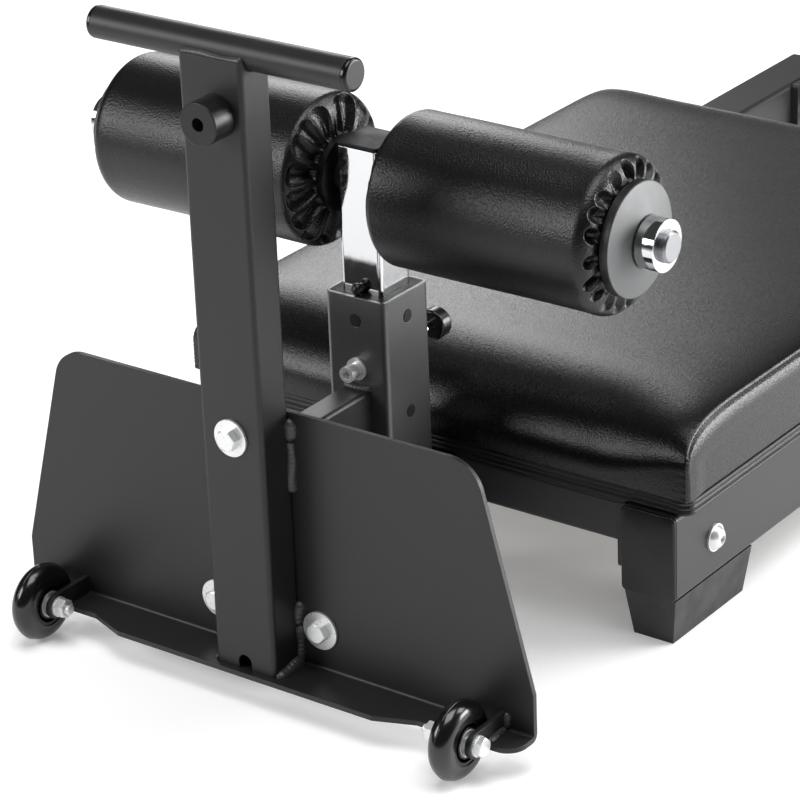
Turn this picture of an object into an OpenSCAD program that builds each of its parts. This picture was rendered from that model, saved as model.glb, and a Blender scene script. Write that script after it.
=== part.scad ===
// Glute ham developer, floor height: foot plate with wheels, ankle rollers on a height post, pad on two rails
// X is the width, Y runs from the foot plate to the rear end and Z is up

/* [Overall] */
// Length from the front of the wheels to the rear end caps
overall_l = 1539; // [1480:1:1600]
// Height of the underside of both side rails over the floor
rail_z = 49; // [42:1:60]

/* [Foot plate] */
// Width of the foot plate at its foot
plate_w = 592; // [560:1:600]
// Width that the sloping sides reach at the top edge
plate_top_w = 477; // [440:1:520]
// Height of the foot plate from its flange to its top edge
plate_h = 261.5; // [240:0.5:290]
// Thickness of the bent sheet
plate_t = 5; // [4:0.5:6]
// Height of the underside of the flange over the floor
plate_z = 28.5; // [22:0.5:32]
// Height of the upright stretch of the plate's sides
plate_side_h = 47; // [30:1:80]
// Radius of the two top corners
plate_corner_r = 35; // [20:1:50]
// Depth of the flange in front of the plate, at its middle
flange_d = 47; // [44:1:56]
// Depth of the flange beside the wheels
flange_side_d = 32; // [28:1:36]
// Radius of the flange's outer corners
flange_r = 20; // [10:1:24]
// Inner radius of the bend
bend_r = 3; // [2:0.5:5]

/* [Upright and handle] */
// Width of the upright tube
upright_w = 70; // [60:1:80]
// Depth of the upright tube
upright_d = 40; // [30:1:50]
// Corner radius of the upright tube
upright_r = 5; // [3:0.5:8]
// Height of the upright tube's top over the floor
upright_top = 632.5; // [600:0.5:680]
// Diameter of the handle bar
handle_d = 30; // [25:1:34]
// Length of the handle bar over its end caps
handle_l = 286; // [220:1:340]
// Height of the handle bar's axis above the upright's top
handle_rise = 3.5; // [2:0.5:6]
// Thickness of a handle end cap
handle_cap_t = 5; // [4:0.5:8]
// Drop from the handle's axis to the bumper's axis
bumper_drop = 55; // [45:1:90]
// Diameter of the rubber bumper
bumper_d = 40; // [30:1:46]
// Length of the rubber bumper
bumper_l = 27; // [22:1:40]
// Diameter of the bumper's hole for its screw head
bumper_bore = 12.5; // [11.5:0.5:16]
// Depth of that hole
bumper_pocket = 18; // [12:1:18]
// Sideways distance of the bumper from the middle
bumper_x = 6.5; // [0:0.5:10]
// Diameter of the bumper's screw
bumper_screw_d = 6; // [5:1:8]
// Diameter of that screw's head, and its nut's width across flats
bumper_head_d = 10; // [9:0.5:11]

/* [Wheels] */
// Diameter of a wheel
wheel_d = 76; // [70:1:78]
// Width of a wheel
wheel_w = 24; // [20:1:28]
// Distance between the two wheels, centre to centre
wheel_track = 491; // [470:1:500]
// Distance of the axle in front of the upright's front face
wheel_lead = 6; // [4:1:8]
// Height of the wheels above the floor when the machine stands on its feet
wheel_lift = 0.5; // [0.5:0.5:3]
// Diameter of the hub inside the tyre
hub_d = 44; // [40:1:48]
// Outer diameter of a wheel bearing
bearing_d = 26; // [22:1:28]
// Width of a wheel bearing
bearing_w = 8; // [6:1:9]
// Thickness of a fork arm
arm_t = 5; // [4:0.5:6]
// Radius of a fork arm's round end
arm_r = 12.5; // [11:0.5:14]
// Space between a fork arm and the wheel's side
arm_gap = 3.5; // [2:0.5:5]

/* [Receiver and post] */
// Width of the square receiver tube
receiver_w = 70; // [66:1:76]
// Distance from the upright's front face to the post's axis
post_setback = 225; // [205:1:240]
// Height of the receiver's mouth over the floor
receiver_top = 340; // [320:1:360]
// Distance between two holes, one above the other
hole_pitch = 49; // [40:1:50]
// Distance from the receiver's mouth to its first hole
first_hole = 24; // [20:1:30]
// Diameter of the liner's buttons
button_d = 12; // [10:1:14]
// Width of the square chrome post
post_w = 46; // [44:1:50]
// Length of the chrome post
post_l = 390; // [360:1:400]
// Distance from the post's top to the roller shaft's axis
shaft_drop = 36; // [30:1:60]
// Thickness of the post's end cap
post_cap_t = 4.5; // [3:0.5:6]
// Diameter of the ball that stops the post at the mouth
stop_d = 12; // [10:1:14]
// Distance from the receiver's mouth to the post's top, with the post at its lowest
post_rise = 143; // [135:1:160]
// Space between the post and its liner, on each side
liner_gap = 0.2; // [0.1:0.05:0.4]
// Length of the plastic liner inside the receiver
liner_l = 150; // [140:1:180]
// Travel of the lock pin
pin_travel = 12; // [10:1:16]
// Diameter of the lock pin
pin_d = 10; // [8:1:12]
// Diameter of the lock pin's knob
knob_d = 31; // [26:1:36]
// Length of the lock pin's knob
knob_l = 16; // [12:1:20]
// Diameter of the lock pin's barrel
barrel_d = 24; // [20:1:28]
// Length of the lock pin's barrel
barrel_l = 25; // [20:1:30]
// Gap from the pulled pin's tip to the post
pin_tip_gap = 2; // [1:0.5:2]
// Length of bare pin between the barrel and the knob when the pin is pushed in
knob_gap = 11; // [8:1:14]

/* [Rollers] */
// Diameter of a roller
roller_d = 148; // [130:1:160]
// Distance from the middle to a roller's inner end
roller_in = 36; // [34:1:50]
// Diameter of the roller shaft
shaft_d = 30; // [26:1:32]
// Length of the roller shaft
shaft_l = 656; // [600:1:680]
// Length of bare shaft outside a collar
shaft_end = 6.6; // [4:0.2:12]
// Diameter of the tube inside a roller
core_d = 38; // [36:1:44]
// Diameter of the disc on a roller's outer end
disc_d = 107; // [90:1:112]
// Thickness of the disc on a roller's outer end
disc_t = 7.5; // [5:0.5:9]
// Diameter of the disc on a roller's inner end
inner_disc_d = 73; // [60:1:80]
// Thickness of the disc on a roller's inner end
inner_disc_t = 6; // [4:1:6]
// Height of the dished face plate on the outer disc
face_h = 8; // [4:0.5:9]
// Diameter of the collar that holds a roller
collar_d = 48.5; // [44:0.5:52]
// Length of the collar
collar_l = 19; // [14:1:20]
// Length over which a roller's cover curves in at each end
gather_l = 14; // [10:1:24]
// Depth of a gather
gather_depth = 5; // [3:0.5:8]
// Number of gathers round each end of a roller's cover
gathers = 18; // [14:1:22]

/* [Frame] */
// Distance over the outer faces of the side rails
frame_w = 570; // [550:1:580]
// Width of a side rail
rail_w = 60; // [55:1:65]
// Height of a side rail
rail_h = 90; // [80:1:100]
// Distance from the upright's front face to the front end of the side rails
rail_start = 298; // [292:1:310]
// Thickness of the side rails' end caps
rail_cap_t = 4; // [3:0.5:6]
// Depth of a cross rail
cross_d = 50; // [40:1:60]
// Height of a cross rail
cross_h = 45; // [40:1:50]
// Distance from the rail's end to the near face of a cross rail
cross_inset = 5; // [4:1:30]
// Thickness of a cross rail's end plate
end_plate_t = 9; // [6:1:10]
// Height of a cross rail's end plate
end_plate_h = 72; // [64:1:80]
// Length of a cross rail's end plate
end_plate_l = 94; // [90:1:110]
// Distance from the rails' top to the frame bolts' axis
frame_bolt_drop = 49; // [44:1:52]
// Gap between a cross rail and the washer of the frame bolt beside it
frame_bolt_gap = 1; // [0.5:0.5:9]
// Width of the strut between the foot plate and the receiver
strut_w = 30; // [25:1:40]
// Height of the strut
strut_h = 60; // [50:1:70]
// Height of the strut's top over the floor
strut_top = 248; // [238:1:252]
// Thickness of the two bolted plates behind the foot plate
mount_t = 8; // [6:1:10]
// Width of the bolted plate at the spine's front end
spine_plate_w = 170; // [160:1:190]
// Wall of every steel tube
wall = 3; // [2:0.5:4]

/* [Feet] */
// Width of a rubber foot at its top
foot_w = 57; // [50:1:58]
// Length of a rubber foot at its top
foot_l = 141; // [120:1:150]
// Taper of a rubber foot on each side
foot_taper = 6.5; // [4:0.5:9]
// Distance from a foot's end to its screw
foot_screw_in = 35; // [30:1:45]
// Depth of the pockets for the feet's screw heads
foot_pocket = 24; // [18:1:28]

/* [Pad] */
// Width of the pad
pad_w = 596; // [580:1:610]
// Length of the pad
pad_l = 797; // [760:1:820]
// Distance from the rail's front end to the pad's front
pad_inset = 2; // [0:1:40]
// Thickness of the pad's board and of the band round it
board_t = 16; // [12:1:20]
// Height of the pad's top seam above the band
side_h = 72.5; // [60:0.5:90]
// Inward set of the top seam from the pad's side
seam_in = 7; // [2:0.5:12]
// Height of the crown above the top seam
crown_h = 7; // [4:0.5:14]
// Thickness of the band round the board
band_t = 8; // [5:1:10]
// Length of the pad's rounded shoulder at each end
shoulder_l = 118; // [90:1:140]
// Inward draw of the side panels at their middle
side_draw = 4; // [0:1:8]
// Length of a leg of the angles under the board
angle_leg = 40; // [34:1:50]
// Thickness of the angles
angle_t = 4; // [3:0.5:6]
// Length of an angle
angle_l = 60; // [40:1:80]
// Gap between a cross rail's end plate and the angle beside it
angle_gap = 4.5; // [2:0.5:10]

/* [Fasteners] */
// Diameter of the frame's large bolts
bolt_d = 12; // [10:1:12]
// Width across flats of the large bolts' heads and nuts
bolt_af = 19; // [17:1:19]
// Height of the large bolts' hex heads
head_h = 7.5; // [6:0.5:8]
// Diameter of the foot plate's two lower washers
wide_washer_d = 38; // [30:1:40]
// Diameter of the washer on the upright
top_washer_d = 36; // [30:1:42]
// Diameter of the washers on the side rails
rail_washer_d = 28; // [24:1:34]
// Diameter of the frame bolts' button heads
frame_head_d = 25; // [20:0.5:26]
// Diameter of the washers under the large nuts
nut_washer_d = 24; // [22:1:30]
// Diameter of the clamp screw's washer
clamp_washer_d = 22; // [18:1:26]
// Thickness of every large washer
washer_t = 2.5; // [2:0.5:3]
// Distance from the middle to the foot plate's two lower bolts
low_bolt_x = 60; // [50:1:70]
// Height of the foot plate's lower bolts over the floor
low_bolt_z = 74; // [65:1:83]
// Height of the foot plate's upper bolt over the floor
top_bolt_z = 272; // [265:1:276]
// Diameter of the wheels' axle bolts
axle_d = 10; // [8:1:10]
// Width across flats of the axle bolts' heads and nuts
axle_af = 17; // [15:1:17]
// Thickness of the axle bolts' nuts
axle_nut_t = 9; // [7:1:10]
// Thickness of the large nuts
nut_t = 10; // [8:1:11]
// Length of a large bolt's end that stands out over its last washer
bolt_end = 14; // [12:1:18]
// Diameter of the feet's and the board's screws
screw_d = 8; // [6:1:8]
// Diameter of those screws' heads
screw_head_d = 13; // [12:1:14]

/* [Hidden] */
$fn = 64;
eps = 0.01;
// Gap between a turning bore and its shaft, on each side
run_gap = 0.06;
// Gap between faces that slide or turn past each other
slide_gap = 0.3;
// Gap between a fixed bore and its screw, on each side
bolt_gap = 0.25;
// Gap between a drilled plate and a large bolt, on each side
hole_gap = 0.5;
// Gap between a pressed or pushed-in plug and its tube, on each side
plug_gap = 0.2;
// Gap between a clamped ring and its shaft, on each side
seat_gap = 0.1;
// Play between the face plate and the collar
collar_gap = 1.9;

bolt_hole = bolt_d + 2 * hole_gap;
screw_hole = screw_d + 2 * bolt_gap;

wheel_y = -overall_l / 2 + wheel_d / 2;
wheel_z = wheel_d / 2 + wheel_lift;
wheel_x = wheel_track / 2;
up_y = wheel_y + wheel_lead;
plate_y = up_y + upright_d;
plate_top = plate_z + plate_h;
flange_top = plate_z + plate_t;
handle_y = up_y + upright_d / 2;
handle_z = upright_top + handle_rise;
bumper_z = handle_z - bumper_drop;
mount_y = plate_y + plate_t;
arm_x = wheel_w / 2 + arm_gap;

post_y = up_y + post_setback;
receiver_in = receiver_w - 2 * wall;
post_top = receiver_top + post_rise;
post_z = post_top - post_l;
shaft_z = post_top - shaft_drop;
hole_z = receiver_top - first_hole;
pin_z = hole_z - hole_pitch;
receiver_z = rail_z;
barrel_y = post_y + receiver_w / 2;
knob_y = barrel_y + barrel_l + pin_travel + knob_gap;
collar_x = shaft_l / 2 - shaft_end - collar_l;
face_x = collar_x - collar_gap - face_h;
roller_out = face_x - disc_t;
liner_in = post_w + 2 * liner_gap;

rail_y = up_y + rail_start;
rail_end = overall_l / 2 - rail_cap_t;
rail_l = rail_end - rail_y;
rail_mid = (rail_y + rail_end) / 2;
rail_x = frame_w / 2 - rail_w / 2;
rail_top = rail_z + rail_h;
rail_in_x = frame_w / 2 - rail_w;
cross_y = rail_y + cross_inset;
cross_l = 2 * (rail_in_x - end_plate_t);
frame_bolt_y = cross_y + cross_d + frame_bolt_gap + nut_washer_d / 2;
frame_bolt_z = rail_top - frame_bolt_drop;

pad_y = rail_y + pad_inset;
pad_mid = pad_y + pad_l / 2;
cushion_z = rail_top + board_t;
angle_hole = angle_leg / 2 + 2;
angle_y = cross_y + end_plate_l + angle_gap + angle_l / 2;

// A rectangle with round corners, centred
module round_rect(w, h, r) {
    square([w, h - 2 * r], center = true);
    square([w - 2 * r, h], center = true);
    for (x = [-1, 1], y = [-1, 1]) {
        translate([x * (w / 2 - r), y * (h / 2 - r)]) circle(r);
    }
}

// A hollow tube along Z with its lower end at the origin
module box_tube(w, h, r, l) {
    linear_extrude(l) difference() {
        round_rect(w, h, r);
        round_rect(w - 2 * wall, h - 2 * wall, max(r - wall, 1));
    }
}

// Turns a shape that was drawn along Z to run along X or Y
module along_x() { rotate([0, 90, 0]) children(); }
module along_y() { rotate([-90, 0, 0]) children(); }

// A copy on each side of the middle
module both_sides(x = 0) {
    for (side = [-1, 1]) {
        translate([side * x, 0, 0]) mirror([side < 0 ? 1 : 0, 0, 0]) children();
    }
}

// A copy at the front end and one at the rear end of the side rails
module both_ends() {
    for (end = [0, 1]) {
        translate([0, rail_mid, 0]) mirror([0, end, 0]) translate([0, -rail_mid, 0]) children();
    }
}

// A ring along Z that stands on the origin
module ring(d, bore, h) {
    difference() {
        cylinder(d = d, h = h);
        translate([0, 0, -1]) cylinder(d = bore, h = h + 2);
    }
}

// A six-sided prism, given across its flats
module hex(af, h) { cylinder(d = af / cos(30), h = h, $fn = 6); }

// A hex bolt whose head stands below the origin and whose shank runs up
module hex_bolt(d, af, h, l) {
    translate([0, 0, -h]) hex(af, h);
    cylinder(d = d, h = l);
}

// A hex nut that stands on the origin
module hex_nut(d, af, h) {
    difference() {
        hex(af, h);
        translate([0, 0, -1]) cylinder(d = d + 2 * bolt_gap, h = h + 2);
    }
}

// A socket-head screw whose head stands below the origin and whose shank runs up
module socket_screw(d, head_d, l) {
    difference() {
        union() {
            translate([0, 0, -d]) cylinder(d = head_d, h = d);
            cylinder(d = d, h = l);
        }
        translate([0, 0, -d - 1]) hex(0.75 * d, 0.6 * d);
    }
}

// The outer block of the upright, which other pieces are cut by
module upright_block() {
    translate([0, handle_y, flange_top]) {
        linear_extrude(upright_top - flange_top) round_rect(upright_w, upright_d, upright_r);
    }
}

module plate_outline() {
    half = plate_w / 2;
    top = plate_top_w / 2;
    slope = atan((half - top) / (plate_h - plate_side_h));
    trim = plate_corner_r / tan(45 + slope / 2);
    bend = plate_t + bend_r;
    polygon([
        [-half, bend], [half, bend], [half, plate_side_h],
        [top + trim * sin(slope), plate_h - trim * cos(slope)], [top - trim, plate_h],
        [trim - top, plate_h], [-top - trim * sin(slope), plate_h - trim * cos(slope)],
        [-half, plate_side_h]
    ]);
    for (side = [-1, 1]) {
        translate([side * (top - trim), plate_h - plate_corner_r]) circle(plate_corner_r);
    }
}

module flange_outline() {
    half = plate_w / 2;
    step_in = 150;
    step_out = 190;
    difference() {
        intersection() {
            translate([-half, -flange_d]) square([plate_w, flange_d - bend_r]);
            flange_blank(half, step_in, step_out);
        }
        for (side = [-1, 1]) {
            translate([side * wheel_x - arm_x, -flange_d]) square([2 * arm_x, flange_d - bend_r - 1]);
        }
    }
}

// The flange before its cuts, with a deeper middle stretch between two short slopes
module flange_blank(half, step_in, step_out) {
    polygon([
        [-half, -bend_r], [-half, flange_r - flange_side_d], [flange_r - half, -flange_side_d],
        [-step_out, -flange_side_d], [-step_in, -flange_d], [step_in, -flange_d],
        [step_out, -flange_side_d], [half - flange_r, -flange_side_d],
        [half, flange_r - flange_side_d], [half, -bend_r]
    ]);
    for (side = [-1, 1]) {
        translate([side * (half - flange_r), flange_r - flange_side_d]) circle(flange_r);
    }
}

// The corner that the plate's bend fills, which the pieces welded into it are chamfered by
module bend_corner() {
    translate([-plate_w / 2 - 1, plate_y, flange_top]) along_x() linear_extrude(plate_w + 2) {
        polygon([[1, 1], [-bend_r - 1, 1], [1, -bend_r - 1]]);
    }
}

module foot_plate() {
    bend = plate_t + bend_r;
    color([0.2, 0.2, 0.21]) difference() {
        union() {
            translate([0, mount_y, plate_z]) rotate([90, 0, 0]) linear_extrude(plate_t) plate_outline();
            translate([0, plate_y, plate_z]) linear_extrude(plate_t) flange_outline();
            translate([-plate_w / 2, plate_y - bend_r, plate_z + bend]) along_x() linear_extrude(plate_w) {
                difference() {
                    intersection() {
                        circle(bend);
                        square(bend);
                    }
                    circle(bend_r);
                }
            }
        }
        for (x = [-low_bolt_x, low_bolt_x]) {
            translate([x, plate_y - 1, low_bolt_z]) along_y() cylinder(d = bolt_hole, h = plate_t + 2);
        }
        translate([0, plate_y - 1, top_bolt_z]) along_y() cylinder(d = bolt_hole, h = plate_t + 2);
    }
}

module upright_tube() {
    notch_d = 15;
    color([0.2, 0.2, 0.21]) difference() {
        translate([0, handle_y, flange_top]) {
            box_tube(upright_w, upright_d, upright_r, upright_top - flange_top);
        }
        translate([-upright_w, handle_y, handle_z]) along_x() {
            cylinder(d = handle_d + 2 * bolt_gap, h = 2 * upright_w);
        }
        translate([0, up_y - 1, top_bolt_z]) along_y() cylinder(d = bolt_hole, h = upright_d + 2);
        translate([bumper_x, up_y - 1, bumper_z]) along_y() {
            cylinder(d = bumper_screw_d + 2 * hole_gap, h = wall + 2);
        }
        translate([0, up_y - 1, flange_top + notch_d / 2]) along_y() cylinder(d = notch_d, h = wall + 2);
        translate([-notch_d / 2, up_y - 1, flange_top - 1]) cube([notch_d, wall + 2, notch_d / 2 + 1]);
        bend_corner();
    }
}

module handle_bar() {
    l = handle_l - 2 * handle_cap_t;
    color([0.2, 0.2, 0.21]) translate([-l / 2, handle_y, handle_z]) along_x() {
        ring(handle_d, handle_d - 2 * wall, l);
    }
}

module handle_caps() {
    edge = 3;
    plug_l = 18;
    color([0.1, 0.1, 0.1]) both_sides(handle_l / 2 - handle_cap_t) {
        translate([0, handle_y, handle_z]) along_x() {
            cylinder(d = handle_d, h = handle_cap_t - edge);
            translate([0, 0, handle_cap_t - edge]) rotate_extrude() {
                square([handle_d / 2 - edge, edge]);
                translate([handle_d / 2 - edge, 0]) intersection() {
                    circle(edge);
                    square(edge);
                }
            }
            translate([0, 0, -plug_l]) ring(handle_d - 2 * wall - 2 * plug_gap, handle_d - 4 * wall, plug_l);
        }
    }
}

module bumper() {
    edge = 1;
    color([0.08, 0.08, 0.08]) translate([bumper_x, up_y, bumper_z]) rotate([90, 0, 0]) {
        difference() {
            union() {
                cylinder(d = bumper_d, h = bumper_l - edge);
                cylinder(d = bumper_d - 2 * edge, h = bumper_l);
                translate([0, 0, bumper_l - edge]) rotate_extrude() {
                    translate([bumper_d / 2 - edge, 0]) circle(edge);
                }
            }
            translate([0, 0, bumper_l - bumper_pocket]) cylinder(d = bumper_bore, h = bumper_pocket + 1);
            translate([0, 0, -1]) cylinder(d = bumper_screw_d + 2 * bolt_gap, h = bumper_l);
        }
    }
}

module bumper_screw() {
    color([0.7, 0.7, 0.72]) translate([bumper_x, up_y - bumper_l + bumper_pocket, bumper_z]) along_y() {
        socket_screw(bumper_screw_d, bumper_head_d, bumper_l - bumper_pocket + wall + 10);
    }
    color([0.7, 0.7, 0.72]) translate([bumper_x, up_y + wall, bumper_z]) along_y() {
        hex_nut(bumper_screw_d, bumper_head_d, 5);
    }
}

// A weld bead of triangular section between two faces at right angles
module fillet(leg, l) { linear_extrude(l) polygon([[0, 0], [leg, 0], [0, leg]]); }

module weld_beads() {
    leg = 5;
    side_top = top_bolt_z + 12;
    color([0.24, 0.24, 0.25]) difference() {
        union() {
            both_sides(upright_w / 2) {
                translate([0, plate_y, flange_top]) rotate([0, 0, -90]) {
                    fillet(leg, side_top - flange_top);
                }
                translate([0, plate_y - leg, flange_top]) rotate([90, 0, 0]) {
                    fillet(leg, upright_d - leg - upright_r);
                }
            }
            for (front = [0, 1]) {
                translate([0, handle_y, upright_top]) mirror([0, front, 0]) {
                    translate([-upright_w / 2 + 4, handle_d / 2 - 2, 0]) cube([upright_w - 8, 5, 3.5]);
                }
            }
            both_sides(wheel_x + arm_x + arm_t) {
                translate([0, plate_y - 4, flange_top]) rotate([90, 0, 0]) fillet(4, flange_side_d - 8);
                translate([0, plate_y, flange_top]) rotate([0, 0, -90]) fillet(4, arm_r + 4);
            }
            for (top = [0, 1]) {
                translate([-strut_w / 2, post_y - receiver_w / 2, top ? strut_top : strut_top - strut_h]) {
                    mirror([0, 0, top ? 0 : 1]) rotate([0, 90, 0]) rotate([0, 0, 180]) fillet(leg, strut_w);
                }
            }
        }
        upright_block();
        bend_corner();
        translate([-upright_w, handle_y, handle_z]) along_x() cylinder(d = handle_d, h = 2 * upright_w);
    }
}

// Both arms of one fork, with the wheel's centre at the origin of X
module wheel_fork() {
    for (side = [-1, 1]) {
        translate([side * (arm_x + arm_t / 2) - arm_t / 2, 0, 0]) difference() {
            union() {
                translate([0, wheel_y, wheel_z]) along_x() cylinder(r = arm_r, h = arm_t);
                translate([0, wheel_y, flange_top]) {
                    cube([arm_t, plate_y - wheel_y, wheel_z + arm_r - flange_top]);
                }
            }
            translate([-1, wheel_y, wheel_z]) along_x() cylinder(d = axle_d + 2 * bolt_gap, h = arm_t + 2);
        }
    }
}

module wheel_arms() {
    color([0.2, 0.2, 0.21]) difference() {
        both_sides(wheel_x) wheel_fork();
        bend_corner();
    }
}

module wheel_axles() {
    head_x = arm_x + arm_t + washer_t;
    color([0.75, 0.75, 0.77]) both_sides(wheel_x) {
        translate([head_x, wheel_y, wheel_z]) rotate([0, -90, 0]) {
            hex_bolt(axle_d, axle_af, 6.5, 2 * head_x + bolt_end);
        }
    }
}

module wheel_spacers() {
    t = arm_gap - slide_gap;
    color([0.7, 0.7, 0.72]) both_sides(wheel_x) for (x = [-arm_x, arm_x - t]) {
        translate([x, wheel_y, wheel_z]) along_x() ring(axle_d + 5, axle_d + 2 * plug_gap, t);
    }
}

module wheel_nuts() {
    color([0.75, 0.75, 0.77]) both_sides(wheel_x) {
        translate([-arm_x - arm_t - washer_t - axle_nut_t, wheel_y, wheel_z]) along_x() {
            hex_nut(axle_d, axle_af, axle_nut_t);
        }
    }
}

// The tyre of one wheel, with a full round tread
module tyre(x) {
    r = wheel_w / 2;
    color([0.1, 0.1, 0.1]) translate([x, wheel_y, wheel_z]) along_x() rotate_extrude() {
        difference() {
            union() {
                translate([hub_d / 2, -r]) square([wheel_d / 2 - r - hub_d / 2, wheel_w]);
                translate([wheel_d / 2 - r, 0]) circle(r);
            }
            translate([0, -r - 1]) square([hub_d / 2, wheel_w + 2]);
        }
    }
}

// The moulded hub: a rim, a bearing seat and a web with holes
module hub(x) {
    rim = 3.5;
    web_t = 7;
    holes = 10;
    hole_d = 6;
    hole_r = (hub_d / 2 - rim + bearing_d / 2 + 2) / 2;
    half = wheel_w / 2 - 1;
    color([0.12, 0.12, 0.12]) translate([x - half, wheel_y, wheel_z]) along_x() difference() {
        union() {
            ring(hub_d, hub_d - 2 * rim, 2 * half);
            ring(bearing_d + 4, axle_d + 6, 2 * half);
            translate([0, 0, half - web_t / 2]) ring(hub_d - rim, bearing_d, web_t);
        }
        for (i = [0 : holes - 1]) {
            rotate([0, 0, i * 360 / holes]) translate([hole_r, 0, half - web_t]) {
                cylinder(d = hole_d, h = 2 * web_t);
            }
        }
        for (z = [-1, 2 * half - bearing_w + 1]) {
            translate([0, 0, z - eps]) cylinder(d = bearing_d, h = bearing_w + 2 * eps);
        }
    }
}

// Both bearings of one wheel, each with a shallow seal groove, flush with the tyre's sides
module bearings(x) {
    color([0.8, 0.8, 0.82]) for (side = [-1, 1]) {
        translate([x + side * (wheel_w / 2 - bearing_w / 2), wheel_y, wheel_z]) along_x() {
            translate([0, 0, -bearing_w / 2]) difference() {
                ring(bearing_d, axle_d + 2 * run_gap, bearing_w);
                for (z = [-1, bearing_w - 0.6]) {
                    translate([0, 0, z]) ring(bearing_d - 4, axle_d + 5, 1.6);
                }
            }
        }
    }
}

module left_tyre() { tyre(-wheel_x); }
module left_hub() { hub(-wheel_x); }
module left_bearings() { bearings(-wheel_x); }
module right_tyre() { tyre(wheel_x); }
module right_hub() { hub(wheel_x); }
module right_bearings() { bearings(wheel_x); }

module plate_bolts() {
    stack = plate_t + mount_t + 2 * washer_t;
    color([0.75, 0.75, 0.77]) {
        translate([0, up_y - washer_t, top_bolt_z]) along_y() {
            hex_bolt(bolt_d, bolt_af, head_h, upright_d + stack + bolt_end);
        }
        for (x = [-low_bolt_x, low_bolt_x]) {
            translate([x, plate_y - washer_t, low_bolt_z]) along_y() {
                hex_bolt(bolt_d, bolt_af, head_h, stack + bolt_end);
            }
        }
    }
}

module plate_nuts() {
    y = mount_y + mount_t + washer_t;
    color([0.75, 0.75, 0.77]) {
        translate([0, y, top_bolt_z]) along_y() hex_nut(bolt_d, bolt_af, nut_t);
        for (x = [-low_bolt_x, low_bolt_x]) {
            translate([x, y, low_bolt_z]) along_y() hex_nut(bolt_d, bolt_af, nut_t);
        }
    }
}

// Every flat washer of the frame
module washers() {
    bore = bolt_hole;
    back = mount_y + mount_t;
    color([0.75, 0.75, 0.77]) {
        translate([0, up_y - washer_t, top_bolt_z]) along_y() ring(top_washer_d, bore, washer_t);
        translate([0, back, top_bolt_z]) along_y() ring(nut_washer_d, bore, washer_t);
        for (x = [-low_bolt_x, low_bolt_x]) {
            translate([x, plate_y - washer_t, low_bolt_z]) along_y() ring(wide_washer_d, bore, washer_t);
            translate([x, back, low_bolt_z]) along_y() ring(nut_washer_d, bore, washer_t);
        }
        both_ends() both_sides(frame_w / 2) translate([0, frame_bolt_y, frame_bolt_z]) {
            along_x() ring(rail_washer_d, bore, washer_t);
            translate([-rail_w - end_plate_t - washer_t, 0, 0]) along_x() {
                ring(nut_washer_d, bore, washer_t);
            }
        }
        both_sides(wheel_x) for (x = [-arm_x - arm_t - washer_t, arm_x + arm_t]) {
            translate([x, wheel_y, wheel_z]) along_x() ring(2 * axle_d, axle_d + 2 * bolt_gap, washer_t);
        }
        translate([0, post_y - receiver_w / 2 - washer_t, pin_z]) along_y() {
            ring(clamp_washer_d, pin_d + 2 * hole_gap, washer_t);
        }
    }
}

module strut_bar() {
    front = mount_y + mount_t;
    color([0.2, 0.2, 0.21]) translate([0, front, strut_top - strut_h / 2]) along_y() {
        box_tube(strut_w, strut_h, 4, post_y - receiver_w / 2 - front);
    }
}

module strut_plate() {
    w = 80;
    h = 108;
    color([0.2, 0.2, 0.21]) difference() {
        translate([0, mount_y, plate_top - 4 - h / 2]) along_y() linear_extrude(mount_t) {
            round_rect(w, h, 8);
        }
        translate([0, mount_y - 1, top_bolt_z]) along_y() cylinder(d = bolt_hole, h = mount_t + 2);
    }
}

// The two lengths of the spine, one on each side of the receiver
module spine_tubes() {
    front = mount_y + mount_t;
    rear = post_y + receiver_w / 2;
    color([0.2, 0.2, 0.21]) translate([0, 0, rail_z + rail_h / 2]) {
        translate([0, front, 0]) along_y() box_tube(rail_w, rail_h, 6, post_y - receiver_w / 2 - front);
        translate([0, rear, 0]) along_y() box_tube(rail_w, rail_h, 6, cross_y - rear);
    }
}

module spine_plate() {
    color([0.2, 0.2, 0.21]) difference() {
        translate([0, mount_y, rail_z + rail_h / 2]) along_y() linear_extrude(mount_t) {
            round_rect(spine_plate_w, rail_h, 8);
        }
        for (x = [-low_bolt_x, low_bolt_x]) {
            translate([x, mount_y - 1, low_bolt_z]) along_y() cylinder(d = bolt_hole, h = mount_t + 2);
        }
    }
}

// The button holes: two on each side and one pair for the pin and the clamp screw
module receiver_holes(d) {
    reach = receiver_w + 20;
    for (z = [hole_z, hole_z - 2 * hole_pitch]) {
        translate([-reach / 2, post_y, z]) along_x() cylinder(d = d, h = reach);
        translate([0, post_y - reach / 2, z]) along_y() cylinder(d = d, h = reach);
    }
}

module receiver_tube() {
    reach = receiver_w + 20;
    color([0.2, 0.2, 0.21]) difference() {
        translate([0, post_y, receiver_z]) box_tube(receiver_w, receiver_w, 6, receiver_top - receiver_z);
        receiver_holes(button_d + 0.6);
        translate([0, post_y - reach / 2, pin_z]) along_y() cylinder(d = pin_d + 0.6, h = reach);
    }
}

module receiver_liner() {
    outer = receiver_in - 2 * plug_gap;
    color([0.12, 0.12, 0.12]) difference() {
        union() {
            translate([0, post_y, receiver_top - liner_l]) linear_extrude(liner_l) {
                round_rect(outer, outer, 2.6);
            }
            intersection() {
                receiver_holes(button_d);
                translate([0, post_y, receiver_z]) linear_extrude(receiver_top - receiver_z) {
                    square(receiver_w + 1, center = true);
                }
            }
        }
        translate([0, post_y, receiver_z - 1]) linear_extrude(receiver_top) {
            round_rect(liner_in, liner_in, 4);
        }
        translate([0, post_y - receiver_w, pin_z]) along_y() cylinder(d = pin_d + 0.6, h = 2 * receiver_w);
    }
}

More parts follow.
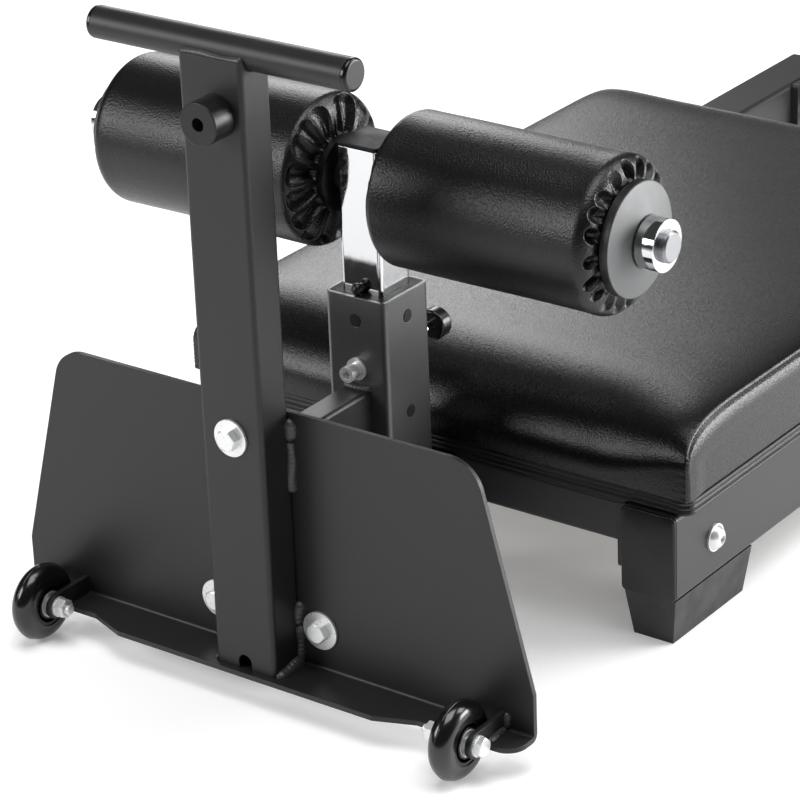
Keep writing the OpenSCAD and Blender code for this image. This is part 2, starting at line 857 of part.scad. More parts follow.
module receiver_screw() {
    sleeve_d = 14;
    sleeve_l = 5;
    head_d = 16;
    head_l = 10;
    face = post_y - receiver_w / 2 - washer_t;
    color([0.75, 0.75, 0.77]) translate([0, face, pin_z]) difference() {
        union() {
            rotate([90, 0, 0]) cylinder(d = sleeve_d, h = sleeve_l);
            translate([0, -sleeve_l, 0]) rotate([90, 0, 0]) cylinder(d = head_d, h = head_l);
            along_y() cylinder(d = pin_d, h = washer_t + wall + 4);
        }
        translate([0, -sleeve_l - head_l - 1, 0]) along_y() hex(8, 7);
    }
}

module pin_barrel() {
    color([0.2, 0.2, 0.21]) translate([0, barrel_y, pin_z]) along_y() {
        ring(barrel_d, pin_d + 2 * run_gap, barrel_l);
    }
}

module lock_pin() {
    start = post_y + post_w / 2 + pin_tip_gap;
    finish = knob_y + knob_l - 4;
    color([0.85, 0.85, 0.87]) translate([0, start, pin_z]) along_y() {
        cylinder(d1 = pin_d - 2, d2 = pin_d, h = 1);
        translate([0, 0, 1]) cylinder(d = pin_d, h = finish - start - 1);
    }
}

module pin_knob() {
    edge = 3;
    color([0.15, 0.15, 0.16]) translate([0, knob_y, pin_z]) along_y() difference() {
        union() {
            translate([0, 0, edge]) cylinder(d = knob_d, h = knob_l - 2 * edge);
            cylinder(d = knob_d - 2 * edge, h = knob_l);
            for (z = [edge, knob_l - edge]) {
                translate([0, 0, z]) rotate_extrude() translate([knob_d / 2 - edge, 0]) circle(edge);
            }
        }
        translate([0, 0, -1]) cylinder(d = pin_d + seat_gap, h = knob_l - 3);
    }
}

module chrome_post() {
    pin_holes = 4;
    color([0.9, 0.9, 0.92]) difference() {
        translate([0, post_y, post_z]) box_tube(post_w, post_w, 4, post_l);
        translate([-post_w, post_y, shaft_z]) along_x() {
            cylinder(d = shaft_d + 2 * plug_gap, h = 2 * post_w);
        }
        for (i = [0 : pin_holes - 1]) {
            translate([0, post_y, pin_z - i * hole_pitch]) along_y() cylinder(d = pin_d + 1, h = post_w);
        }
        translate([0, post_y - post_w / 2 - 1, receiver_top + stop_d / 2]) along_y() {
            cylinder(d = 5.2, h = wall + 2);
        }
    }
}

module post_cap() {
    plug_l = 12;
    plug_w = post_w - 2 * wall - 2 * plug_gap;
    color([0.1, 0.1, 0.1]) {
        translate([0, post_y, post_top]) linear_extrude(post_cap_t) round_rect(post_w + 1, post_w + 1, 4);
        translate([0, post_y, post_top - plug_l]) linear_extrude(plug_l) difference() {
            round_rect(plug_w, plug_w, 2);
            round_rect(plug_w - 6, plug_w - 6, 1);
        }
    }
}

module post_stop() {
    y = post_y - post_w / 2;
    color([0.1, 0.1, 0.1]) {
        translate([0, y - stop_d / 2 - 0.4, receiver_top + stop_d / 2 + 0.1]) sphere(d = stop_d);
        translate([0, y - stop_d / 2, receiver_top + stop_d / 2]) along_y() {
            cylinder(d = 5, h = stop_d / 2 + wall + 2);
        }
        translate([0, y - 1.4, receiver_top + stop_d / 2]) along_y() cylinder(d = 8, h = 1.4);
    }
}

module roller_shaft() {
    edge = 2;
    color([0.85, 0.85, 0.87]) translate([0, post_y, shaft_z]) both_sides() along_x() {
        cylinder(d = shaft_d, h = shaft_l / 2 - edge);
        translate([0, 0, shaft_l / 2 - edge]) cylinder(d1 = shaft_d, d2 = shaft_d - 2 * edge, h = edge);
    }
}

module shaft_spacers() {
    l = roller_in - inner_disc_t - post_w / 2 - slide_gap;
    color([0.15, 0.15, 0.15]) both_sides(post_w / 2) translate([0, post_y, shaft_z]) along_x() {
        ring(shaft_d + 8, shaft_d + 2 * seat_gap, l);
    }
}

module collar_screw_place() {
    translate([collar_x + collar_l / 2, post_y, shaft_z]) rotate([142, 0, 0]) children();
}

module shaft_collars() {
    color([0.85, 0.85, 0.87]) both_sides() difference() {
        translate([collar_x, post_y, shaft_z]) along_x() ring(collar_d, shaft_d + 2 * seat_gap, collar_l);
        collar_screw_place() translate([0, 0, shaft_d / 2]) cylinder(d = 8.4, h = collar_d);
    }
}

module collar_screws() {
    l = collar_d / 2 - shaft_d / 2 - 2;
    color([0.3, 0.3, 0.32]) both_sides() collar_screw_place() translate([0, 0, shaft_d / 2 + 0.1]) {
        difference() {
            cylinder(d = 8, h = l);
            translate([0, 0, l - 4]) hex(4, 5);
        }
    }
}

module left_core() { mirror([1, 0, 0]) right_core(); }
module right_core() {
    color([0.3, 0.3, 0.3]) translate([roller_in, post_y, shaft_z]) along_x() {
        ring(core_d, shaft_d + 2 * run_gap, roller_out - roller_in);
        translate([0, 0, -inner_disc_t]) ring(inner_disc_d, shaft_d + 2 * run_gap, inner_disc_t);
    }
}

module left_disc() { mirror([1, 0, 0]) right_disc(); }
module right_disc() {
    color([0.08, 0.08, 0.08]) translate([roller_out, post_y, shaft_z]) along_x() {
        ring(disc_d, shaft_d + 2 * run_gap, disc_t);
    }
}

module left_face() { mirror([1, 0, 0]) right_face(); }
module right_face() {
    rim = 1;
    hub_r = collar_d / 2 + 1;
    color([0.75, 0.75, 0.76]) translate([face_x, post_y, shaft_z]) along_x() rotate_extrude() {
        polygon([
            [shaft_d / 2 + run_gap, 0], [disc_d / 2 - 0.5, 0], [disc_d / 2 - 0.5, rim],
            [hub_r, face_h], [shaft_d / 2 + run_gap, face_h]
        ]);
    }
}

// Stations of a roller cover's curved end from its mouth to the full round: [place, radius, sink along the
// shaft, sink toward the shaft], with the sinks as they are between two gathers
function cover_end(mouth) = [
    for (k = [[0, 0], [28, 1], [52, 0.9], [74, 0.5], [90, 0]])
    let (turn = k[0], sink = gather_depth * k[1])
    [
        0.5 + gather_l * (1 - cos(turn)), mouth + (roller_d / 2 - mouth) * sin(turn),
        sink * cos(turn), sink * sin(turn)
    ]
];

// The cover's stations from the inner end's bore to the outer end's
function cover_stations() = let (
    bore = core_d / 2 + 0.5,
    l = roller_out - roller_in,
    inner = cover_end(inner_disc_d / 2 - 1),
    outer = cover_end(disc_d / 2)
) [
    [0.5, bore, 0, 0], each inner,
    for (i = [len(outer) - 1 : -1 : 0]) [l - outer[i][0], outer[i][1], -outer[i][2], outer[i][3]],
    [l - 0.5, bore, 0, 0]
];

// One closed ring of the cover's points at a station
function cover_ring(s, n) = [
    for (i = [0 : n - 1])
    let (a = i * 360 / n, pleat = 0.5 - 0.5 * cos(a * gathers), r = s[1] - s[3] * pleat)
    [s[0] + s[2] * pleat, r * cos(a), r * sin(a)]
];

module left_cushion() { mirror([1, 0, 0]) right_cushion(); }
module right_cushion() {
    n = gathers * 4;
    stations = cover_stations();
    m = len(stations);
    points = [for (s = stations) each cover_ring(s, n)];
    walls = [
        for (k = [0 : m - 1], i = [0 : n - 1])
        let (a = k * n, b = ((k + 1) % m) * n, j = (i + 1) % n)
        each [[a + i, b + i, b + j], [a + i, b + j, a + j]]
    ];
    color([0.14, 0.14, 0.14]) translate([roller_in, post_y, shaft_z]) polyhedron(points, walls);
}

module side_rail(side) {
    color([0.2, 0.2, 0.21]) difference() {
        translate([side * rail_x, rail_y, rail_z + rail_h / 2]) along_y() {
            box_tube(rail_w, rail_h, 6, rail_l);
        }
        both_ends() translate([side * rail_x - rail_w, frame_bolt_y, frame_bolt_z]) along_x() {
            cylinder(d = bolt_hole, h = 2 * rail_w);
        }
        both_ends() foot_screw_places() translate([0, 0, rail_z - 1]) cylinder(d = screw_hole, h = wall + 2);
    }
}

module left_rail() { side_rail(-1); }
module right_rail() { side_rail(1); }

module rail_caps() {
    plug_l = 14;
    color([0.09, 0.09, 0.09]) both_ends() both_sides(rail_x) {
        translate([0, rail_y - rail_cap_t, rail_z + rail_h / 2]) along_y() {
            linear_extrude(rail_cap_t) round_rect(rail_w, rail_h, 6);
            linear_extrude(rail_cap_t + plug_l) difference() {
                round_rect(rail_w - 2 * wall - 2 * plug_gap, rail_h - 2 * wall - 2 * plug_gap, 2.8);
                round_rect(rail_w - 4 * wall, rail_h - 4 * wall, 1);
            }
        }
    }
}

module cross_rail() {
    color([0.2, 0.2, 0.21]) translate([-cross_l / 2, cross_y + cross_d / 2, rail_top - cross_h / 2]) {
        along_x() box_tube(cross_h, cross_d, 5, cross_l);
    }
}

module front_cross() { cross_rail(); }
module rear_cross() {
    translate([0, rail_mid, 0]) mirror([0, 1, 0]) translate([0, -rail_mid, 0]) cross_rail();
}

module cross_plates() {
    color([0.2, 0.2, 0.21]) both_ends() both_sides(rail_in_x - end_plate_t) difference() {
        translate([0, cross_y + end_plate_l / 2, rail_top - end_plate_h / 2]) along_x() {
            linear_extrude(end_plate_t) round_rect(end_plate_h, end_plate_l, 4);
        }
        translate([-1, frame_bolt_y, frame_bolt_z]) along_x() cylinder(d = bolt_hole, h = end_plate_t + 2);
    }
}

// Button-head bolts through the side rails
module frame_bolts() {
    head_r = frame_head_d / 2;
    head_t = 8;
    dome_r = (head_r * head_r + head_t * head_t) / (2 * head_t);
    l = rail_w + end_plate_t + 2 * washer_t + bolt_end;
    color([0.75, 0.75, 0.77]) both_ends() both_sides(frame_w / 2 + washer_t) {
        translate([0, frame_bolt_y, frame_bolt_z]) along_x() difference() {
            union() {
                rotate_extrude() intersection() {
                    translate([0, head_t - dome_r]) circle(dome_r);
                    square([head_r, head_t]);
                }
                translate([0, 0, -l]) cylinder(d = bolt_d, h = l);
            }
            translate([0, 0, head_t - 4]) hex(8, 5);
        }
    }
}

module frame_nuts() {
    color([0.75, 0.75, 0.77]) both_ends() {
        both_sides(rail_in_x - end_plate_t - washer_t - nut_t) {
            translate([0, frame_bolt_y, frame_bolt_z]) along_x() hex_nut(bolt_d, bolt_af, nut_t);
        }
    }
}

// The places of the two screws of each foot at one end of the rails
module foot_screw_places() {
    for (side = [-1, 1], y = [foot_screw_in, foot_l - foot_screw_in]) {
        translate([side * rail_x, rail_y + y, 0]) children();
    }
}

// A block that tapers toward the floor on all four sides
module rubber_foot() {
    low_w = foot_w - 2 * foot_taper;
    low_l = foot_l - 2 * foot_taper;
    intersection() {
        translate([0, foot_l, 0]) rotate([90, 0, 0]) linear_extrude(foot_l) {
            polygon([[-low_w / 2, 0], [low_w / 2, 0], [foot_w / 2, rail_z], [-foot_w / 2, rail_z]]);
        }
        translate([-foot_w / 2, 0, 0]) rotate([90, 0, 90]) linear_extrude(foot_w) {
            polygon([[foot_taper, 0], [foot_taper + low_l, 0], [foot_l, rail_z], [0, rail_z]]);
        }
    }
}

module rubber_feet() {
    color([0.1, 0.1, 0.1]) both_ends() difference() {
        for (side = [-1, 1]) translate([side * rail_x, rail_y, 0]) rubber_foot();
        foot_screw_places() {
            translate([0, 0, -1]) cylinder(d = screw_head_d + 4, h = foot_pocket + 1);
            cylinder(d = screw_hole, h = rail_z + 1);
        }
    }
}

module foot_screws() {
    color([0.7, 0.7, 0.72]) both_ends() foot_screw_places() translate([0, 0, foot_pocket]) {
        socket_screw(screw_d, screw_head_d, rail_z - foot_pocket + wall + 8);
    }
}

module pad_board() {
    color([0.6, 0.48, 0.33]) difference() {
        translate([0, pad_mid, rail_top]) linear_extrude(board_t) {
            round_rect(pad_w - 2 * band_t, pad_l - 2 * band_t, 6);
        }
        angle_places() translate([-angle_hole, 0, -1]) cylinder(d = screw_hole, h = board_t - 1);
    }
}

module pad_band() {
    color([0.14, 0.14, 0.14]) translate([0, pad_mid, rail_top]) {
        linear_extrude(board_t) difference() {
            round_rect(pad_w - 2, pad_l - 2, 13);
            round_rect(pad_w - 2 * band_t, pad_l - 2 * band_t, 6);
        }
    }
}

// Height of the pad's top seam above the band at a distance from the nearer end
function seam_h(d) = let (start = 0.52) side_h * (
    d >= shoulder_l ? 1 : start + (1 - start) * sqrt(1 - pow(1 - d / shoulder_l, 3.2))
);

// The side profile as rows of [distance along the pad, height above the band]
function pad_rows() = let (
    low = [[0, 0], [-1.5, 0.18 * side_h], [-1, 0.36 * side_h]],
    shares = [0, 0.025, 0.07, 0.135, 0.24, 0.38, 0.56, 0.76, 1],
    shoulder = [for (k = shares) [k * shoulder_l, seam_h(k * shoulder_l)]],
    flat = [for (k = [0.3, 0.5]) [k * pad_l, side_h]],
    half = concat(low, shoulder, flat),
    back = [for (i = [len(half) - 2 : -1 : 0]) [pad_l - half[i][0], half[i][1]]]
) concat(half, back);

// Places across the pad, as shares of its half width
function pad_columns() = let (right = [0.3, 0.6, 0.78, 0.87, 0.93, 0.965, 0.985, 1])
    concat([for (i = [len(right) - 1 : -1 : 0]) -right[i]], [0], right);

// The crown: how far a point stands out over the seam, across the pad
function crown(u) = crown_h * pow(1 - pow(abs(u), 12), 0.8);

module pad_cushion() {
    half = pad_w / 2 - 1;
    rows = pad_rows();
    cols = pad_columns();
    m = len(rows);
    n = len(cols);
    corner = 5;
    bulge = 14;
    // The share of the crown that goes up, rather than toward the front or the rear
    function up(k) = k < 4 || k > m - 5 ? 0 : min(1, 3 * min(rows[k][0], pad_l - rows[k][0]) / shoulder_l);
    function round_in(u) = let (e = max(0, abs(u) * half - half + corner))
        corner - sqrt(corner * corner - e * e);
    function end_push(k, u) = rows[k][1] <= 0 || up(k) >= 1 ? 0 : 0.2 * crown(u) * (1 - up(k));
    function turn(k) = let (reach = min(rows[k][0], pad_l - rows[k][0]))
        (k < m / 2 ? 1 : -1) * (1 - min(1, 4 * reach / shoulder_l));
    points = [
        for (k = [0 : m - 1], u = cols) [
            u * (half - seam_in * up(k)),
            rows[k][0] - pad_l / 2 + turn(k) * (round_in(u) - end_push(k, u)),
            rows[k][1] + crown(u) * up(k)
        ]
    ];
    edge_l = [for (k = [0 : m - 1]) k * n];
    edge_r = [for (k = [0 : m - 1]) k * n + n - 1];
    // Each side panel's bulge beside its seam, and its drawn-in middle line
    function panel_ring(side, x, reach) = [
        for (k = [0 : m - 1]) [
            side * x, points[k * n][1] * (1 - 2 * reach / pad_l),
            side_h / 2 + (rows[k][1] - side_h / 2) * (1 - 2 * reach / side_h)
        ]
    ];
    rings = [for (side = [-1, 1]) each concat(
        panel_ring(side, half, bulge), panel_ring(side, half - side_draw, 2 * bulge)
    )];
    // The middles of the two side panels and of the underside
    mids = [[-half + side_draw, 0, side_h / 2], [half - side_draw, 0, side_h / 2], [0, 0, 0]];
    all = concat(points, rings, mids);
    first = m * n;
    top = [
        for (k = [0 : m - 2], i = [0 : n - 2])
        let (a = k * n + i, b = a + n)
        each [[a, b, b + 1], [a, b + 1, a + 1]]
    ];
    left = [
        for (k = [0 : m - 1])
        let (j = (k + 1) % m, a = edge_l[k], b = edge_l[j], c = first + k, d = first + j)
        each [[a, c, d], [a, d, b], [c, c + m, d + m], [c, d + m, d], [c + m, first + 4 * m, d + m]]
    ];
    right = [
        for (k = [0 : m - 1])
        let (j = (k + 1) % m, a = edge_r[k], b = edge_r[j], c = first + 2 * m + k, d = first + 2 * m + j)
        each [[a, d, c], [a, b, d], [c, d + m, c + m], [c, d, d + m], [c + m, d + m, first + 4 * m + 1]]
    ];
    low = [
        for (i = [0 : n - 2])
        let (a = i, b = (m - 1) * n + i, mid = first + 4 * m + 2)
        each [[a, a + 1, mid], [b + 1, b, mid]]
    ];
    sides = [[0, first + 4 * m + 2, (m - 1) * n], [n - 1, (m - 1) * n + n - 1, first + 4 * m + 2]];
    color([0.16, 0.16, 0.16]) translate([0, pad_mid, cushion_z]) {
        polyhedron(all, concat(top, left, right, low, sides), convexity = 4);
    }
}

// The four places of the angles that carry the board, at the inner faces of the rails
module angle_places() {
    for (y = [angle_y, 2 * pad_mid - angle_y]) {
        both_sides(rail_in_x) translate([0, y, rail_top]) children();
    }
}

module pad_angles() {
    color([0.2, 0.2, 0.21]) angle_places() difference() {
        translate([0, -angle_l / 2, 0]) {
            translate([-angle_leg, 0, -angle_t]) cube([angle_leg, angle_l, angle_t]);
            translate([-angle_t, 0, -angle_leg]) cube([angle_t, angle_l, angle_leg]);
        }
        translate([-angle_hole, 0, -angle_t - 1]) cylinder(d = screw_hole, h = angle_t + 2);
    }
}

module pad_screws() {
    color([0.7, 0.7, 0.72]) angle_places() {
        translate([-angle_hole, 0, -angle_t]) hex_bolt(screw_d, screw_head_d, 5.3, angle_t + board_t - 3);
    }
}

foot_plate();
upright_tube();
handle_bar();
handle_caps();
bumper();
bumper_screw();
weld_beads();
wheel_arms();
wheel_axles();
wheel_spacers();
wheel_nuts();
left_tyre();
left_hub();
left_bearings();
right_tyre();
right_hub();
right_bearings();
plate_bolts();
plate_nuts();
washers();
strut_bar();
strut_plate();
spine_tubes();
spine_plate();
receiver_tube();
receiver_liner();
receiver_screw();
pin_barrel();
lock_pin();
pin_knob();
chrome_post();
post_cap();
post_stop();
roller_shaft();
shaft_spacers();
shaft_collars();
collar_screws();
left_core();
left_cushion();
left_disc();
left_face();
right_core();
right_cushion();
right_disc();
right_face();
left_rail();
right_rail();
rail_caps();
front_cross();
rear_cross();
cross_plates();
frame_bolts();
frame_nuts();
rubber_feet();
foot_screws();
pad_board();
pad_band();
pad_cushion();
pad_angles();
pad_screws();
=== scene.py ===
"""Finishes and soft parts of a floor-height glute ham developer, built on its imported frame.

Lengths are in metres in the frame's own axes: X across the machine, Y from the foot plate to the rear, Z up.
Fields of the classes below are in millimetres, as a maker's drawing has them.
"""

import sys

import logging
import math
import random
from dataclasses import dataclass
from enum import Enum
from typing import Callable, Iterable, Sequence

import bpy
import numpy as np
from mathutils import Matrix, Vector


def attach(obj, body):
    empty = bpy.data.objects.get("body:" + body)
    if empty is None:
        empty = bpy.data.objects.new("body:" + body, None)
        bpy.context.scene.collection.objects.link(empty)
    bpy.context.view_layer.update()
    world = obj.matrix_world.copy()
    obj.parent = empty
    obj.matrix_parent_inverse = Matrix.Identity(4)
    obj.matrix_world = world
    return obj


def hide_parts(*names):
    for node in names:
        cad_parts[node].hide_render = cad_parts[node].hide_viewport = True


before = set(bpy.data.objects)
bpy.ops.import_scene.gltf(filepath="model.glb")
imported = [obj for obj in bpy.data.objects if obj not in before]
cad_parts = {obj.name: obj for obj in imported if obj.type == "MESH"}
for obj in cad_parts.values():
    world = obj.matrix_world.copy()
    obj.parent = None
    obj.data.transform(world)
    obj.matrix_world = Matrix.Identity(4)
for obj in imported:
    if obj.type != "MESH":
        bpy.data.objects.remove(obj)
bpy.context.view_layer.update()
MM = 0.001
SHAFT_AXIS = (-500.5, 447.0)
WHEEL_AXIS = (245.5, -731.5, 38.5)
PLATE_FRONT = -685.5
LOG = logging.getLogger("glute_ham_developer")

Inputs = dict[str | int, object]
Grid = np.ndarray


class Side(Enum):
    """The two sides of the machine, seen from the foot plate."""

    LEFT = -1
    RIGHT = 1

    @property
    def word(self) -> str:
        """The side's name as node names spell it."""
        return self.name.lower()


# Materials


def linear(code: str) -> tuple[float, float, float, float]:
    """Turns an sRGB colour to linear light.

    Args:
        code: six hex digits, such as "1a1a1b".

    Returns:
        Red, green, blue and an alpha of 1.
    """
    channels = [int(code[i : i + 2], 16) / 255 for i in (0, 2, 4)]
    bent = [c / 12.92 if c <= 0.04045 else ((c + 0.055) / 1.055) ** 2.4 for c in channels]
    return (*bent, 1.0)


def add_node(tree: bpy.types.NodeTree, kind: str, settings: dict[str, object],
             inputs: Inputs) -> bpy.types.Node:
    """Adds a node with its settings and links.

    Args:
        tree: the node tree it goes into.
        kind: the node's type without the ShaderNode prefix.
        settings: attributes of the node.
        inputs: socket name or number to a value, or to the output socket that feeds it.

    Returns:
        The new node.
    """
    node = tree.nodes.new("ShaderNode" + kind)
    for name, value in settings.items():
        setattr(node, name, value)
    for key, value in inputs.items():
        if isinstance(value, bpy.types.NodeSocket):
            tree.links.new(value, node.inputs[key])
        else:
            node.inputs[key].default_value = value
    return node


def noise(tree: bpy.types.NodeTree, place: bpy.types.NodeSocket, scale: float,
          detail: float) -> bpy.types.NodeSocket:
    """A cloudy pattern, which an uneven surface is drawn with.

    Args:
        tree: the node tree.
        place: the coordinates' socket.
        scale: clouds in a metre.
        detail: how many finer layers lie on the clouds.

    Returns:
        The pattern's socket, from 0 to 1.
    """
    return add_node(tree, "TexNoise", {}, {"Vector": place, "Scale": scale, "Detail": detail}).outputs[0]


@dataclass(frozen=True)
class Finish:
    """A surface as its maker would order it, with the values that its shader starts from."""

    name: str
    colour: str
    roughness: float
    metallic: float = 0.0
    ior: float = 1.5
    coat: float = 0.0
    coat_roughness: float = 0.1
    edge: float = 0.0

    def coordinates(self, tree: bpy.types.NodeTree) -> bpy.types.NodeSocket:
        """The piece's own Object coordinates."""
        return add_node(tree, "TexCoord", {}, {}).outputs["Object"]

    def edge_normal(self, tree: bpy.types.NodeTree) -> Inputs:
        """Rounds hard edges in the light, as the coating does on the real piece.

        Args:
            tree: the material's node tree.

        Returns:
            The shader's Normal link, or nothing for a finish without an edge radius.
        """
        if self.edge <= 0:
            return {}
        return {"Normal": add_node(tree, "Bevel", {"samples": 4}, {"Radius": self.edge * MM}).outputs[0]}

    def raised(self, tree: bpy.types.NodeTree, height: bpy.types.NodeSocket, strength: float,
               depth: float) -> bpy.types.NodeSocket:
        """Raises a pattern from the surface, on top of its rounded edges.

        Args:
            tree: the material's node tree.
            height: the pattern's socket.
            strength: share of the relief that the light shows.
            depth: height of the relief in millimetres.

        Returns:
            The socket for the shader's Normal.
        """
        relief = {"Height": height, "Strength": strength, "Distance": depth * MM}
        return add_node(tree, "Bump", {}, {**relief, **self.edge_normal(tree)}).outputs[0]

    def pattern(self, tree: bpy.types.NodeTree) -> Inputs:
        """Links for the shader's sockets that vary over the surface.

        Args:
            tree: the material's node tree.

        Returns:
            Socket name of the shader to a feeding socket.
        """
        return self.edge_normal(tree)

    def material(self) -> bpy.types.Material:
        """Makes the material once, and gives the same one after that.

        Returns:
            The material.
        """
        found = bpy.data.materials.get(self.name)
        if found:
            return found
        material = bpy.data.materials.new(self.name)
        material.use_nodes = True
        tree = material.node_tree
        tree.nodes.clear()
        steady = {
            "Base Color": linear(self.colour),
            "Roughness": self.roughness,
            "Metallic": self.metallic,
        }
        if self.metallic < 1:
            steady["IOR"] = self.ior
        if self.coat:
            steady["Coat Weight"] = self.coat
            steady["Coat Roughness"] = self.coat_roughness
        shader = add_node(tree, "BsdfPrincipled", {}, {**steady, **self.pattern(tree)})
        add_node(tree, "OutputMaterial", {}, {"Surface": shader.outputs[0]})
        material.diffuse_color = linear(self.colour)
        return material

    def dress(self, *pieces: bpy.types.Object) -> None:
        """Puts this finish on pieces, in place of what they have.

        Args:
            pieces: objects with a mesh.
        """
        for piece in pieces:
            piece.data.materials.clear()
            piece.data.materials.append(self.material())


def shades(tree: bpy.types.NodeTree, factor: bpy.types.NodeSocket, dark: str,
           light: str) -> bpy.types.NodeSocket:
    """Mixes two colours by a factor.

    Args:
        tree: the node tree.
        factor: 0 for the dark colour and 1 for the light one.
        dark: sRGB hex code.
        light: sRGB hex code.

    Returns:
        The mixed colour's socket.
    """
    mix = add_node(tree, "Mix", {"data_type": "RGBA"}, {0: factor, 6: linear(dark), 7: linear(light)})
    return mix.outputs[2]


def between(tree: bpy.types.NodeTree, value: bpy.types.NodeSocket, low: float, high: float,
            start: float = 0.0, end: float = 1.0) -> bpy.types.NodeSocket:
    """Maps a value that runs from start to end onto the range from low to high.

    Args:
        tree: the node tree.
        value: the value's socket.
        low: result at start.
        high: result at end.
        start: value that gives low.
        end: value that gives high.

    Returns:
        The mapped value's socket.
    """
    inputs = {"Value": value, "From Min": start, "From Max": end, "To Min": low, "To Max": high}
    return add_node(tree, "MapRange", {}, inputs).outputs[0]


@dataclass(frozen=True)
class PowderCoat(Finish):
    """Black polyester powder baked on steel: a satin skin with the faint ripple of the melted powder.

    The real ripple is about 0.6 mm wide. It is drawn at the grain's size, so that a render shows it.
    """

    grain: float = 1.7
    ripple: float = 0.05
    drifts_per_metre: float = 9.0
    light: str = "222223"

    def pattern(self, tree: bpy.types.NodeTree) -> Inputs:
        """Ripple, small colour drift and small change of gloss.

        Args:
            tree: the material's node tree.

        Returns:
            Links for the shader's sockets.
        """
        place = self.coordinates(tree)
        grain = noise(tree, place, 1 / (self.grain * MM), 2.0)
        drift = noise(tree, place, self.drifts_per_metre, 3.0)
        bump = self.raised(tree, grain, 0.6, self.ripple)
        return {
            "Base Color": shades(tree, drift, self.colour, self.light),
            "Roughness": between(tree, drift, self.roughness - 0.05, self.roughness + 0.06),
            "Normal": bump,
        }


@dataclass(frozen=True)
class PebbledVinyl(Finish):
    """Black upholstery vinyl with an embossed pebble grain, whose crests carry the shine and whose hollows
    are painted darker as painted shade.

    The real pebbles are about 1.1 mm across. They are drawn at the size given, so that a render shows them.
    """

    pebble: float = 2.0
    depth: float = 0.16
    wander: float = 0.5
    swell: float = 1.2
    swells_per_metre: float = 14.0
    # valley: colour of the hollows between the pebbles, darker than the crests: painted shade in the grain.
    valley: str = "060606"
    valley_dullness: float = 0.12

    def pattern(self, tree: bpy.types.NodeTree) -> Inputs:
        """Pebbles, the soft waves of vinyl over foam, crests worn glossier, and hollows painted darker as
        painted shade.

        Args:
            tree: the material's node tree.

        Returns:
            Links for the shader's sockets.
        """
        place = self.coordinates(tree)
        warp = add_node(tree, "TexNoise", {},
                        {"Vector": place, "Scale": 1 / (3 * self.pebble * MM), "Detail": 1.0})
        shift = add_node(tree, "VectorMath", {"operation": "SCALE"},
                         {0: warp.outputs["Color"], "Scale": self.wander * MM})
        bent = add_node(tree, "VectorMath", {"operation": "ADD"}, {0: place, 1: shift.outputs[0]}).outputs[0]
        cells = add_node(tree, "TexVoronoi", {}, {"Vector": bent, "Scale": 1 / (self.pebble * MM)})
        waves = noise(tree, place, self.swells_per_metre, 2.0)
        crest = between(tree, cells.outputs["Distance"], 1.0, 0.0, 0.1, 0.75)
        soft = add_node(tree, "Bump", {}, {"Height": waves, "Strength": 0.35,
                                           "Distance": self.swell * MM})
        bump = add_node(tree, "Bump", {}, {"Height": crest, "Strength": 1.0, "Distance": self.depth * MM,
                                           "Normal": soft.outputs[0]})
        return {
            # Painted shade: the colour darkens from the crests into the hollows of the grain.
            "Base Color": shades(tree, crest, self.valley, self.colour),
            "Roughness": between(tree, crest, self.roughness + self.valley_dullness, self.roughness),
            "Normal": bump.outputs[0],
        }


@dataclass(frozen=True)
class ChromePlate(Finish):
    """Bright chrome over drawn tube: a mirror with a slow waviness from polishing."""

    wave: float = 0.035
    waves_per_metre: float = 90.0
    smears_per_metre: float = 180.0

    def pattern(self, tree: bpy.types.NodeTree) -> Inputs:
        """Slow waves and faint smears in the gloss.

        Args:
            tree: the material's node tree.

        Returns:
            Links for the shader's sockets.
        """
        place = self.coordinates(tree)
        waves = noise(tree, place, self.waves_per_metre, 1.0)
        smear = noise(tree, place, self.smears_per_metre, 3.0)
        bump = self.raised(tree, waves, 0.5, self.wave)
        return {
            "Roughness": between(tree, smear, self.roughness, self.roughness + 0.05, 0.4, 0.8),
            "Normal": bump,
        }


@dataclass(frozen=True)
class ZincPlate(Finish):
    """Bright zinc on turned or cold-headed steel: soft mirror, with a fine milky mottle."""

    mottle: float = 2.5
    skin: float = 0.005
    dull: str = "b9bbbd"

    def pattern(self, tree: bpy.types.NodeTree) -> Inputs:
        """Mottled colour and gloss, and a light roughness of the skin.

        Args:
            tree: the material's node tree.

        Returns:
            Links for the shader's sockets.
        """
        place = self.coordinates(tree)
        spots = noise(tree, place, 1 / (self.mottle * MM), 3.0)
        bump = self.raised(tree, spots, 0.2, self.skin)
        return {
            "Base Color": shades(tree, spots, self.dull, self.colour),
            "Roughness": between(tree, spots, self.roughness, self.roughness + 0.08, 0.3, 0.75),
            "Normal": bump,
        }


